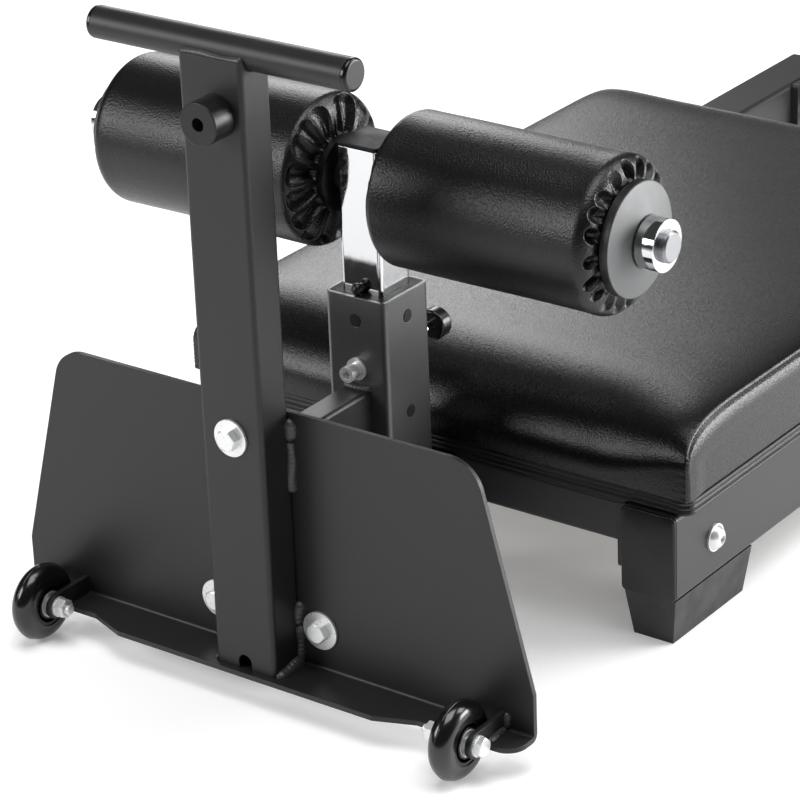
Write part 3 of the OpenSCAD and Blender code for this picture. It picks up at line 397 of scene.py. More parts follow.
@dataclass(frozen=True)
class TurnedSteel(Finish):
    """Steel faced on a lathe: fine rings round the X axis of the shaft, which spread the highlight.

    The real rings are about 0.2 mm apart. They are drawn at the pitch given, so that a render shows them.
    """

    pitch: float = 1.1
    ring_depth: float = 0.03
    clouds_per_metre: float = 35.0
    stain: str = "626364"

    def pattern(self, tree: bpy.types.NodeTree) -> Inputs:
        """Rings by the distance from the shaft's axis.

        Args:
            tree: the material's node tree.

        Returns:
            Links for the shader's sockets.
        """
        place = self.coordinates(tree)
        centre = (0.0, SHAFT_AXIS[0] * MM, SHAFT_AXIS[1] * MM)
        local = add_node(tree, "VectorMath", {"operation": "SUBTRACT"}, {0: place, 1: centre}).outputs[0]
        across = add_node(tree, "VectorMath", {"operation": "MULTIPLY"}, {0: local, 1: (0.0, 1.0, 1.0)})
        flat = across.outputs[0]
        radius = add_node(tree, "VectorMath", {"operation": "LENGTH"}, {0: flat}).outputs["Value"]
        rings = add_node(tree, "TexNoise", {"noise_dimensions": "1D"},
                         {"W": radius, "Scale": 1 / (self.pitch * MM), "Detail": 3.0})
        cloud = noise(tree, place, self.clouds_per_metre, 3.0)
        bump = self.raised(tree, rings.outputs[0], 0.35, self.ring_depth)
        return {
            "Base Color": shades(tree, cloud, self.stain, self.colour),
            "Roughness": between(tree, cloud, self.roughness - 0.06, self.roughness + 0.08, 0.3, 0.7),
            "Normal": bump,
        }


@dataclass(frozen=True)
class LitFloor(Finish):
    """A white acrylic floor lit from below, as a light table is."""

    glow: float = 0.21

    def pattern(self, tree: bpy.types.NodeTree) -> Inputs:
        """Even light of its own."""
        return {"Emission Color": linear("ffffff"), "Emission Strength": self.glow}


@dataclass(frozen=True)
class Moulded(Finish):
    """A moulded plastic or rubber: the tool's fine texture, with handling marks that change the gloss."""

    texture: float = 0.9
    relief: float = 0.02
    marks: float = 0.08
    marks_per_metre: float = 45.0

    def pattern(self, tree: bpy.types.NodeTree) -> Inputs:
        """Tool texture and marks.

        Args:
            tree: the material's node tree.

        Returns:
            Links for the shader's sockets.
        """
        place = self.coordinates(tree)
        grain = noise(tree, place, 1 / (self.texture * MM), 2.0)
        marks = noise(tree, place, self.marks_per_metre, 4.0)
        bump = self.raised(tree, grain, 0.5, self.relief)
        dull, bright = self.roughness + self.marks, self.roughness - self.marks
        return {
            "Roughness": between(tree, marks, bright, dull, 0.3, 0.7),
            "Normal": bump,
        }


@dataclass(frozen=True)
class Plywood(Finish):
    """Birch plywood seen from below: long pale grain along the board."""

    band: float = 6.0
    stretch: float = 0.06
    dark: str = "857866"

    def pattern(self, tree: bpy.types.NodeTree) -> Inputs:
        """Grain stretched along Y.

        Args:
            tree: the material's node tree.

        Returns:
            Links for the shader's sockets.
        """
        place = self.coordinates(tree)
        drawn = add_node(tree, "Mapping", {}, {"Vector": place, "Scale": (1.0, self.stretch, 1.0)}).outputs[0]
        grain = noise(tree, drawn, 1 / (self.band * MM), 5.0)
        return {"Base Color": shades(tree, grain, self.dark, self.colour)}


# Textured black powder coat on the welded steel: dark satin, greyer where it mirrors the pale floor.
BLACK_POWDER = PowderCoat("black_powder_coat", "161617", 0.43, ior=1.45, edge=1.4, ripple=0.12,
                          light="1e1e1f")
# A thicker, harder coat on the receiver: the same black powder with a stronger sheen, its colour painted
# lighter than the black coat as painted light, so that the receiver shows brighter.
BRIGHT_POWDER = PowderCoat("bright_black_powder_coat", "2a2a2b", 0.36, ior=1.9, edge=1.4, ripple=0.12,
                           light="333334")
# The same black powder pooled over the beads: lumpy, with small broken lights, and its colour painted lighter
# than the black coat as painted sheen.
WELD_POWDER = PowderCoat("powder_coat_over_weld", "2c2c2d", 0.40, grain=1.8, ripple=0.20, light="404041")
# Smooth black powder coat on the rails: even and quiet, a little lighter.
SMOOTH_POWDER = PowderCoat("smooth_black_powder_coat", "1b1b1c", 0.42, edge=1.4, ripple=0.05, light="242425")
# Embossed PVC vinyl: deep black with a soft shine that breaks up in the grain.
ROLLER_VINYL = PebbledVinyl("pebbled_vinyl", "0b0b0c", 0.25, ior=1.45, pebble=1.8, depth=0.18, swell=0.4)
# The pad's finer vinyl, pulled tight: glossier, with shallow pebbles.
PAD_VINYL = PebbledVinyl("fine_pebbled_vinyl", "0d0d0e", 0.20, ior=1.45, pebble=1.6, depth=0.13, swell=0.8)
# Woven-backed binding vinyl: flatter and duller than the pad's top.
BAND_VINYL = PebbledVinyl("band_vinyl", "111112", 0.34, ior=1.45, pebble=1.6, depth=0.06, swell=0.3)
# Electroplated chrome on drawn tube: a clear mirror, white where the room is white.
CHROME = ChromePlate("bright_chrome", "cacbcd", 0.05, 1.0, edge=0.9)
# Centreless-ground chrome on the shaft: a grey, brushed sheen.
SHAFT_CHROME = ChromePlate("ground_chrome", "8c8d8f", 0.34, 1.0, edge=0.9)
# Bright zinc with its clear passivation: a milky, nearly white metal.
ZINC = ZincPlate("bright_zinc", "e8e9e9", 0.27, 0.65, edge=0.5, dull="d8d9d9")
# Lathe-faced mild steel: mid grey with a broad, soft light.
FACED_STEEL = TurnedSteel("faced_steel", "7c7d7d", 0.58, 1.0, edge=0.5)
# Black-oxide steel: dark, with a dull metal light.
DARK_STEEL = ZincPlate("blackened_steel", "3a3a3c", 0.38, 1.0, dull="2a2a2c")
# Injection-moulded ABS: black and glossy, with sharp small lights.
GLOSS_PLASTIC = Moulded("black_gloss_plastic", "0f0f10", 0.22, ior=1.42, edge=0.8, marks=0.06, relief=0.008)
# Moulded polypropylene: black with a satin skin.
SATIN_PLASTIC = Moulded("black_satin_plastic", "141415", 0.40, edge=0.6)
# Moulded nylon: a matte black that takes little light.
DULL_PLASTIC = Moulded("black_dull_plastic", "0a0a0b", 0.55, ior=1.38, edge=0.5)
# Cast polyurethane with a polished tread: deep black under a clear gloss.
WHEEL_RUBBER = Moulded("cast_polyurethane", "0c0c0d", 0.20, coat=0.3, marks=0.05, relief=0.008)
# Filled natural rubber: charcoal, dull and a little uneven.
FOOT_RUBBER = Moulded("black_foot_rubber", "1a1a1b", 0.52, edge=1.0, relief=0.05, marks=0.12)
# Moulded nitrile rubber: black with a soft sheen.
BUMPER_RUBBER = Moulded("black_bumper_rubber", "101011", 0.38, ior=1.42, edge=0.8, relief=0.02, marks=0.07)
# Unfinished birch plywood: pale brown, matte.
PLYWOOD = Plywood("birch_plywood", "a39a8c", 0.6)
# Bonded nylon thread: black, slightly lighter than the vinyl.
THREAD = Moulded("bonded_nylon_thread", "121213", 0.4)
# White acrylic sheet: an even, pale field.
FLOOR_PAINT = LitFloor("pale_studio_floor", "f4f4f4", 0.6)

FINISH_OF = {
    BLACK_POWDER: "foot_plate upright_tube handle_bar wheel_arms strut_bar strut_plate spine_tubes "
                  "spine_plate pin_barrel pad_angles",
    BRIGHT_POWDER: "receiver_tube",
    WELD_POWDER: "weld_beads",
    SMOOTH_POWDER: "left_rail right_rail front_cross rear_cross cross_plates",
    ZINC: "bumper_screw wheel_axles wheel_spacers wheel_nuts left_bearings right_bearings plate_bolts "
          "plate_nuts washers receiver_screw frame_bolts frame_nuts foot_screws pad_screws",
    CHROME: "lock_pin chrome_post shaft_collars",
    SHAFT_CHROME: "roller_shaft",
    FACED_STEEL: "left_face right_face",
    DARK_STEEL: "collar_screws left_core right_core",
    WHEEL_RUBBER: "left_tyre right_tyre",
    FOOT_RUBBER: "rubber_feet",
    BUMPER_RUBBER: "bumper post_stop",
    GLOSS_PLASTIC: "handle_caps pin_knob rail_caps left_hub right_hub",
    SATIN_PLASTIC: "shaft_spacers left_disc right_disc",
    DULL_PLASTIC: "receiver_liner post_cap",
    ROLLER_VINYL: "left_cushion right_cushion",
    PAD_VINYL: "pad_cushion",
    BAND_VINYL: "pad_band",
    PLYWOOD: "pad_board",
}


# Modelling


def clear_selection() -> None:
    """Leaves edit mode and deselects everything, because the loaded frame comes in selected."""
    if bpy.context.object and bpy.context.object.mode != "OBJECT":
        bpy.ops.object.mode_set(mode="OBJECT")
    bpy.ops.object.select_all(action="DESELECT")


def settle(piece: bpy.types.Object, name: str, body: str, finish: Finish,
           replaces: Sequence[str] = ()) -> bpy.types.Object:
    """Names a finished piece, puts its place into its mesh, dresses it and hangs it on its body.

    Args:
        piece: the piece, in place.
        name: its new name.
        body: the frame's body that it rides on.
        finish: its finish.
        replaces: nodes of the frame that it stands for.

    Returns:
        The piece.
    """
    piece.name = name
    piece.data.name = name
    bpy.context.view_layer.update()
    piece.data.transform(piece.matrix_world)
    piece.matrix_world = Matrix.Identity(4)
    finish.dress(piece)
    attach(piece, body)
    if replaces:
        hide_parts(*replaces)
    LOG.info("%s: %d faces on %s", name, len(piece.data.polygons), body)
    return piece


def mesh_piece(name: str, points: Grid, faces: Iterable[Sequence[int]]) -> bpy.types.Object:
    """A new object from points in millimetres and faces, which shade smoothly.

    Args:
        name: its name.
        points: an array of N by 3.
        faces: corner numbers of each face.

    Returns:
        The object, linked to the scene.
    """
    data = bpy.data.meshes.new(name)
    data.from_pydata((np.asarray(points, float) * MM).tolist(), [], [tuple(f) for f in faces])
    data.update()
    piece = bpy.data.objects.new(name, data)
    bpy.context.scene.collection.objects.link(piece)
    data.polygons.foreach_set("use_smooth", [True] * len(data.polygons))
    return piece


def grid_faces(rows: int, columns: int, close_rows: bool = False,
               close_columns: bool = False) -> list[tuple[int, ...]]:
    """Four-sided faces of a grid whose points run row by row.

    Args:
        rows: number of rows.
        columns: number of points in a row.
        close_rows: whether the last row joins the first.
        close_columns: whether a row's last point joins its first.

    Returns:
        A list of faces.
    """
    faces = []
    for i in range(rows if close_rows else rows - 1):
        for j in range(columns if close_columns else columns - 1):
            a, b = i * columns + j, i * columns + (j + 1) % columns
            c, d = ((i + 1) % rows) * columns + (j + 1) % columns, ((i + 1) % rows) * columns + j
            faces.append((a, b, c, d))
    return faces


def finished(piece: bpy.types.Object, angle: float = 40.0) -> bpy.types.Object:
    """Applies a piece's modifiers, turns its faces outward and shades it by angle.

    Args:
        piece: a piece in object mode.
        angle: faces that meet at less than this many degrees shade as one.

    Returns:
        The piece.
    """
    clear_selection()
    bpy.context.view_layer.objects.active = piece
    piece.select_set(True)
    bpy.ops.object.convert(target="MESH")
    bpy.ops.object.transform_apply(location=True, rotation=True, scale=True)
    bpy.ops.object.mode_set(mode="EDIT")
    bpy.ops.mesh.select_all(action="SELECT")
    bpy.ops.mesh.remove_doubles(threshold=0.00002)
    bpy.ops.mesh.normals_make_consistent(inside=False)
    bpy.ops.object.mode_set(mode="OBJECT")
    bpy.ops.object.shade_smooth_by_angle(angle=math.radians(angle))
    piece.select_set(False)
    return piece


def joined(pieces: Sequence[bpy.types.Object]) -> bpy.types.Object:
    """Joins pieces into the first one.

    Args:
        pieces: pieces in object mode.

    Returns:
        The first one, which now holds them all.
    """
    clear_selection()
    for piece in pieces:
        piece.select_set(True)
    bpy.context.view_layer.objects.active = pieces[0]
    bpy.ops.object.join()
    pieces[0].select_set(False)
    return pieces[0]


def block(size: tuple[float, float, float], place: tuple[float, float, float], round_z: float,
          rounding: float) -> bpy.types.Object:
    """A rounded block.

    Args:
        size: its width, depth and height in millimetres.
        place: its middle in millimetres.
        round_z: radius of its four edges along Z.
        rounding: radius of all its other edges.

    Returns:
        The block.
    """
    clear_selection()
    bpy.ops.mesh.primitive_cube_add(size=1, location=[v * MM for v in place])
    piece = bpy.context.object
    piece.dimensions = [v * MM for v in size]
    bpy.ops.object.transform_apply(location=False, rotation=False, scale=True)
    bpy.ops.object.mode_set(mode="EDIT")
    pick_edges(piece, lambda a, b: abs(a.z - b.z) > 1e-6)
    bpy.ops.mesh.bevel(offset=round_z * MM, segments=6)
    bpy.ops.object.mode_set(mode="OBJECT")
    bpy.ops.object.mode_set(mode="EDIT")
    pick_edges(piece, lambda a, b: abs(a.z - b.z) < 1e-6)
    bpy.ops.mesh.bevel(offset=rounding * MM, segments=4)
    bpy.ops.object.mode_set(mode="OBJECT")
    return finished(piece, 50.0)


def pick_edges(piece: bpy.types.Object, wanted: Callable[[Vector, Vector], bool]) -> None:
    """Selects some edges, and nothing else, and leaves the piece in edit mode.

    Args:
        piece: the piece, in edit mode.
        wanted: says of an edge's two ends whether the edge is picked.
    """
    bpy.ops.mesh.select_all(action="DESELECT")
    bpy.ops.object.mode_set(mode="OBJECT")
    points = piece.data.vertices
    for edge in piece.data.edges:
        a, b = (points[i].co for i in edge.vertices)
        edge.select = wanted(a, b)
    bpy.ops.object.mode_set(mode="EDIT")
    bpy.ops.mesh.select_mode(type="EDGE")


def turned(outline: Sequence[tuple[float, float]], steps: int = 96) -> bpy.types.Object:
    """A turned piece round the Z axis.

    Args:
        outline: closed outline as (radius, height) in millimetres.
        steps: number of facets round it.

    Returns:
        The piece, standing on the origin.
    """
    clear_selection()
    points = [(r * MM, 0.0, z * MM) for r, z in outline]
    edges = [(i, (i + 1) % len(points)) for i in range(len(points))]
    data = bpy.data.meshes.new("turned")
    data.from_pydata(points, edges, [])
    piece = bpy.data.objects.new("turned", data)
    bpy.context.scene.collection.objects.link(piece)
    bpy.context.view_layer.objects.active = piece
    piece.select_set(True)
    bpy.ops.object.mode_set(mode="EDIT")
    bpy.ops.mesh.select_all(action="SELECT")
    bpy.ops.mesh.spin(steps=steps, angle=2 * math.pi, center=(0, 0, 0), axis=(0, 0, 1))
    bpy.ops.object.mode_set(mode="OBJECT")
    return finished(piece, 35.0)


def stood(piece: bpy.types.Object, place: Sequence[float], ahead: tuple[float, float, float],
          spin: float = 0.0) -> bpy.types.Object:
    """Turns a piece's Z axis to point ahead and moves its origin to a place.

    Args:
        piece: the piece, modelled round the origin.
        place: where its origin goes, in millimetres.
        ahead: the direction of its Z axis.
        spin: turn round its own axis in degrees.

    Returns:
        The piece, with its place in its mesh.
    """
    turn = Vector(ahead).to_track_quat("Z", "Y").to_matrix().to_4x4()
    spun = Matrix.Rotation(math.radians(spin), 4, "Z")
    piece.data.transform(Matrix.Translation(Vector(place) * MM) @ turn @ spun)
    return piece


def stitched(name: str, line: Grid, pitch: float, length: float, thickness: float) -> bpy.types.Object:
    """A row of thread stitches along a line.

    Args:
        name: its name.
        line: points in millimetres, N by 3.
        pitch: distance from one stitch to the next.
        length: length of a stitch.
        thickness: thickness of the thread.

    Returns:
        All the stitches as one object.
    """
    clear_selection()
    bpy.ops.mesh.primitive_uv_sphere_add(segments=6, ring_count=5, radius=0.5)
    stitch = bpy.context.object
    shape = np.array([v.co for v in stitch.data.vertices])
    corners = [tuple(p.vertices) for p in stitch.data.polygons]
    bpy.data.objects.remove(stitch)
    reach = np.concatenate([[0], np.cumsum(np.linalg.norm(np.diff(line, axis=0), axis=1))])
    places = np.arange(pitch / 2, reach[-1], pitch)
    centre = np.stack([np.interp(places, reach, line[:, k]) for k in range(3)], axis=1)
    later = np.stack([np.interp(places + 0.5, reach, line[:, k]) for k in range(3)], axis=1)
    earlier = np.stack([np.interp(places - 0.5, reach, line[:, k]) for k in range(3)], axis=1)
    ahead = later - earlier
    ahead /= np.maximum(np.linalg.norm(ahead, axis=1), 1e-9)[:, None]
    across = np.cross(ahead, [0.0, 0.0, 1.0])
    flat = np.linalg.norm(across, axis=1) < 0.1
    across[flat] = [1.0, 0.0, 0.0]
    across /= np.linalg.norm(across, axis=1)[:, None]
    upward = np.cross(across, ahead)
    points = (centre[:, None, :] + shape[None, :, 2:3] * length * ahead[:, None, :]
              + shape[None, :, 0:1] * thickness * across[:, None, :]
              + shape[None, :, 1:2] * thickness * upward[:, None, :])
    faces = [tuple(c + k * len(shape) for c in corner) for k in range(len(places)) for corner in corners]
    return mesh_piece(name, points.reshape(-1, 3), faces)


def smooth_step(value: Grid, start: float, end: float) -> Grid:
    """A rise without corners.

    Args:
        value: where it is read.
        start: value up to which it is 0.
        end: value from which it is 1.

    Returns:
        The rise at each value.
    """
    t = np.clip((value - start) / (end - start), 0, 1)
    return t * t * (3 - 2 * t)


# Soft parts


@dataclass(frozen=True)
class Gather:
    """How one end of a roller's sleeve is drawn in: large pockets round the disc and creases at the mouth.

    A place on the end is given as its way: 0 at the mouth and 1 at the full round.

    Attributes:
        seed: seed of the pockets' irregular spacing.
        count: number of pockets.
        depth: depth of a middling pocket.
        heart: way at which the pockets are deepest.
        tops: least and greatest way at which a pocket ends.
        widths: least and greatest half-width as a share of the pockets' spacing.
        edge: 1 for round edges, less for sharp ridges.
        crease_seed: seed of the creases' spacing.
        crease_count: number of creases.
        crease_depth: depth of a crease.
    """

    seed: int
    count: int
    depth: float
    heart: float
    tops: tuple[float, float]
    widths: tuple[float, float]
    edge: float
    crease_seed: int
    crease_count: int
    crease_depth: float


@dataclass
class RollerCover:
    """A foam roller's vinyl sleeve, gathered into pockets round the disc on each end."""

    side: Side
    inner: Gather = Gather(11, 17, 8.0, 0.60, (0.80, 0.92), (0.44, 0.54), 0.8, 31, 50, 2.8)
    outer: Gather = Gather(23, 20, 8.5, 0.26, (0.58, 0.76), (0.33, 0.44), 1.0, 41, 38, 1.4)
    inner_end: float = 36.0
    outer_end: float = 284.5
    radius: float = 74.0
    bore: float = 19.5
    inner_mouth: float = 35.5
    outer_mouth: float = 53.0
    inner_reach: float = 15.0
    outer_reach: float = 16.0
    squareness: float = 2.2
    slack: float = 0.35
    columns: int = 600
    end_rows: int = 46
    middle_rows: int = 20

    def end_curve(self, mouth: float, reach: float) -> tuple[Grid, Grid]:
        """The rounded edge of an end, from its mouth to the full round.

        Args:
            mouth: radius at which the sleeve turns in under the disc.
            reach: length of the rounding along the shaft.

        Returns:
            Place along the shaft and radius of each row.
        """
        turn = np.linspace(0, math.pi / 2, self.end_rows)
        power = 2 / self.squareness
        return reach * (1 - np.cos(turn) ** power), mouth + (self.radius - mouth) * np.sin(turn) ** power

    def profile(self) -> tuple[Grid, Grid, Grid, Grid]:
        """The sleeve's rows from one bore to the other.

        Returns:
            Place along the shaft, radius, the way from the mouth (0) to the full round (1), and the end that
            a row belongs to (0 inner, 1 outer).
        """
        length = self.outer_end - self.inner_end
        x0, r0 = self.end_curve(self.inner_mouth, self.inner_reach)
        x1, r1 = self.end_curve(self.outer_mouth, self.outer_reach)
        run = np.linspace(x0[-1], length - x1[-1], self.middle_rows + 2)[1:-1]
        x = np.concatenate([[0.6, 0.6], 1 + x0, run, length - 1 - x1[::-1], [length - 0.6, length - 0.6]])
        middle = np.full(self.middle_rows, self.radius)
        r = np.concatenate([[self.bore, self.inner_mouth - 2], r0, middle, r1[::-1],
                            [self.outer_mouth - 2, self.bore]])
        inner_way = (r0 - self.inner_mouth + x0) / (self.radius - self.inner_mouth + self.inner_reach)
        outer_way = (r1 - self.outer_mouth + x1) / (self.radius - self.outer_mouth + self.outer_reach)
        way = np.concatenate([[-1, -1], inner_way, np.full(self.middle_rows, 2.0), outer_way[::-1], [-1, -1]])
        end_rows = self.end_rows + 2
        end = np.concatenate([np.zeros(end_rows), np.full(self.middle_rows, 0.5), np.ones(end_rows)])
        return x, r, way, end

    def pockets(self, gather: Gather, angle: Grid, way: Grid) -> Grid:
        """How far the gathered sleeve sinks between its ridges.

        Args:
            gather: how the end is drawn in.
            angle: angles round the shaft, one for each column.
            way: way from the mouth to the full round, one for each row.

        Returns:
            Depths in millimetres, rows by columns.
        """
        dice = random.Random(gather.seed + self.side.value)
        pitch = 2 * math.pi / gather.count
        heart = gather.heart
        sunk = np.zeros((len(way), len(angle)))
        for i in range(gather.count):
            centre = (i + dice.uniform(-0.18, 0.18)) * pitch
            width = pitch * dice.uniform(*gather.widths)
            deep = gather.depth * dice.uniform(0.6, 1.25)
            top = dice.uniform(*gather.tops)
            lean = dice.uniform(-0.3, 0.3) * pitch
            skew = dice.uniform(-0.25, 0.25)
            turned_by = angle[None, :] - centre - lean * way[:, None]
            off = ((turned_by + math.pi) % (2 * math.pi) - math.pi) / width
            off = np.abs(off + skew * (1 - off**2) * (np.abs(off) < 1))
            toward_top = np.clip((way - heart) / (top - heart), 0, None)
            toward_mouth = np.clip((heart - way) / heart, 0, None) * dice.uniform(0.55, 0.8)
            bowl = np.clip(1 - off**2 - (toward_top**2 + toward_mouth**2)[:, None], 0, 1) ** gather.edge
            sunk = np.maximum(sunk, deep * bowl)
        return sunk

    def creases(self, gather: Gather, angle: Grid, way: Grid) -> Grid:
        """Small sharp creases that the drawstring leaves near the mouth.

        Args:
            gather: how the end is drawn in.
            angle: angles round the shaft, one for each column.
            way: way from the mouth to the full round, one for each row.

        Returns:
            Depths in millimetres, rows by columns.
        """
        dice = random.Random(gather.crease_seed + self.side.value)
        phase = [dice.uniform(0, 2 * math.pi) for _ in range(3)]
        wander = 1.6 * np.sin(3 * angle + phase[0]) + 0.9 * np.sin(7 * angle + phase[1])
        wave = np.abs(np.sin((angle * gather.crease_count + wander) / 2)) ** 0.7
        strength = 0.75 + 0.25 * np.sin(5 * angle + phase[2])
        near = np.clip(1 - way / 0.5, 0, 1) ** 1.3 * smooth_step(way, -0.05, 0.06)
        return gather.crease_depth * near[:, None] * (wave * strength)[None, :]

    def build(self) -> bpy.types.Object:
        """Models the sleeve and hangs it on its roller.

        Returns:
            The sleeve.
        """
        x, r, way, end = self.profile()
        angle = np.arange(self.columns) * 2 * math.pi / self.columns
        gathered = np.clip(way, 0, 1)
        number = self.side.value
        inner, outer = (self.pockets(g, angle, gathered) + self.creases(g, angle, gathered)
                        for g in (self.inner, self.outer))
        live = ((way >= 0) & (way <= 1))[:, None]
        sunk = np.where(end[:, None] < 0.5, inner, outer) * live
        slope = np.gradient(r, x + np.arange(len(x)) * 1e-6)
        tilt = np.arctan(np.clip(np.abs(slope), 0, 50))
        facing = np.where(end < 0.5, 1.0, -1.0)
        soft = self.slack * np.sin(x[:, None] / 37 + 1.3 * np.sin(2 * angle + number)[None, :])
        soft = soft * smooth_step(way, 0.8, 1.6)[:, None]
        radius = r[:, None] - sunk * np.cos(tilt)[:, None] + soft - self.slack * (way > 1)[:, None]
        shift = sunk * np.sin(tilt)[:, None] * facing[:, None]
        px = number * (self.inner_end + x[:, None] + shift)
        py = SHAFT_AXIS[0] + radius * np.cos(angle)[None, :]
        pz = SHAFT_AXIS[1] + radius * np.sin(angle)[None, :]
        points = np.stack([px, py, pz], axis=-1).reshape(-1, 3)
        faces = grid_faces(len(x), self.columns, close_rows=True, close_columns=True)
        if self.side is Side.LEFT:
            faces = [f[::-1] for f in faces]
        piece = mesh_piece("cover", points, faces)
        word = self.side.word
        settle(piece, f"{word}_roller_cover", f"{word}_roller", ROLLER_VINYL,
               [f"{word}_cushion"])
        return piece


@dataclass
class Bench:
    """The thigh pad's cover: a top panel that wraps over both shoulders and two boxed side panels.

    A shoulder's shape is a pair: the share of the side's height at which it starts to curve, and the power of
    its curve, 2 for an ellipse and more for a fuller one. The panels have one shape along their seams and a
    rounder one over the middle.
    """

    half: float = 297.0
    seam_in: float = 7.0
    length: float = 797.0
    front: float = -425.5
    base: float = 155.0
    side_height: float = 72.5
    crown: float = 7.0
    shoulder: float = 118.0
    seam_front: tuple[float, float] = (0.47, 3.0)
    seam_rear: tuple[float, float] = (0.56, 3.4)
    middle_front: tuple[float, float] = (0.14, 2.4)
    middle_rear: tuple[float, float] = (0.40, 3.4)
    blend: float = 110.0
    belly: float = 3.0
    groove: float = 1.5
    rim: float = 0.45
    pucker: float = 0.22
    fold: float = 0.12
    wave: float = 1.35
    panel_draw: float = 1.4
    tuck: float = 1.4
    stitch: tuple[float, float, float] = (4.6, 3.0, 0.7)
    panel_rows: int = 30
    curve_columns: int = 430
    across: int = 112

    def height_at(self, distance: Grid, start: float, power: float) -> Grid:
        """The cover's height over the base.

        Args:
            distance: distance from the nearer end.
            start: the shoulder's start.
            power: the shoulder's power.

        Returns:
            Heights in millimetres.
        """
        inside = np.clip(1 - distance / self.shoulder, 0, 1)
        rise = np.sqrt(np.clip(1 - inside**power, 0, 1))
        return self.side_height * (start + (1 - start) * rise)

    def length_curve(self, start: float, power: float) -> Grid:
        """Evenly spaced points over both shoulders, as distance from the front and height.

        Args:
            start: the shoulders' start.
            power: the shoulders' power.

        Returns:
            Points, N by 2.
        """
        near = self.shoulder * (1 - np.cos(np.linspace(0, math.pi / 2, 300))) ** 1.6
        ends = [[self.length / 2, self.side_height]]
        half = np.concatenate([np.stack([near, self.height_at(near, start, power)], axis=1), ends])
        back = half[:-1][::-1] * [-1, 1] + [self.length, 0]
        line = np.concatenate([half, back])
        reach = np.concatenate([[0], np.cumsum(np.hypot(*np.diff(line, axis=0).T))])
        wanted = np.linspace(0, reach[-1], self.curve_columns)
        return np.stack([np.interp(wanted, reach, line[:, k]) for k in range(2)], axis=1)

    def seam_set(self, height: Grid) -> Grid:
        """How far the seam lies inside the pad's side, by its height over the base."""
        return self.seam_in * smooth_step(height, 0.42 * self.side_height, 0.98 * self.side_height)

    def whole_line(self, start: float, power: float) -> Grid:
        """A lengthwise line of the cover from the base at the front to the base at the rear.

        Args:
            start: the shoulders' start.
            power: the shoulders' power.

        Returns:
            Points, N by 2.
        """
        shares = 0.5 - 0.5 * np.cos(np.linspace(0, math.pi, self.panel_rows))
        curve = self.length_curve(start, power)
        foot = np.stack([np.zeros_like(shares), shares * curve[0, 1]], axis=1)[:-1]
        return np.concatenate([foot, curve, (foot + [self.length, 0])[::-1]])

    def two_ended(self, front: tuple[float, float], rear: tuple[float, float]) -> Grid:
        """A lengthwise line whose two shoulders have shapes of their own.

        Args:
            front: the front shoulder's start and power.
            rear: the rear shoulder's start and power.

        Returns:
            Points, N by 2.
        """
        ahead, behind = self.whole_line(*front), self.whole_line(*rear)
        return np.where(ahead[:, :1] < self.length / 2, ahead, behind)

    def top_panel(self, shares: Grid) -> Grid:
        """The top panel's points, along the seam line and across the pad.

        Args:
            shares: places across, from -1 to 1.

        Returns:
            Points in millimetres from the pad's front and base, rows by columns by 3.
        """
        line = self.two_ended(self.seam_front, self.seam_rear)
        middle_line = self.two_ended(self.middle_front, self.middle_rear)
        seam_x = self.half - self.seam_set(line[:, 1])
        edge = seam_x[:, None] * (1 - np.abs(shares))[None, :]
        inward = smooth_step(edge, 0, self.blend)[:, :, None]
        base = line[:, None, :] * (1 - inward) + middle_line[:, None, :] * inward
        ahead = np.gradient(base, axis=0)
        ahead /= np.linalg.norm(ahead, axis=2)[:, :, None]
        flat_share = smooth_step(base[:, :, 1], 0.45 * self.side_height, self.side_height)
        dome = self.crown * (1 - np.abs(shares) ** 12) ** 0.8
        swell = np.sin(math.pi * np.clip(base[:, :, 1] / self.side_height, 0, 1))
        belly = self.belly * (1 - np.abs(shares) ** 6)[None, :] * swell
        reach = np.concatenate([[0], np.cumsum(np.hypot(*np.diff(line, axis=0).T))])[:, None]
        near_seam = np.exp(-edge / 7) * (1 - np.exp(-((edge / 2.4) ** 2)))
        from_end = np.minimum(line[:, 0], self.length - line[:, 0])[:, None]
        tight = 0.3 + 0.7 * np.exp(-((from_end / 70) ** 2))
        pucker = self.pucker * near_seam * tight * np.sin(reach / self.wave + 2.4 * np.sin(reach / 29))
        sunk = self.groove * np.exp(-((edge / 1.6) ** 2))
        lift = dome[None, :] * flat_share + belly * (1 - flat_share) - sunk + pucker
        x = shares[None, :] * seam_x[:, None] - np.sign(shares)[None, :] * sunk
        y = base[:, :, 0] - ahead[:, :, 1] * lift
        z = base[:, :, 1] + ahead[:, :, 0] * lift
        return np.stack([x, y, z], axis=-1)

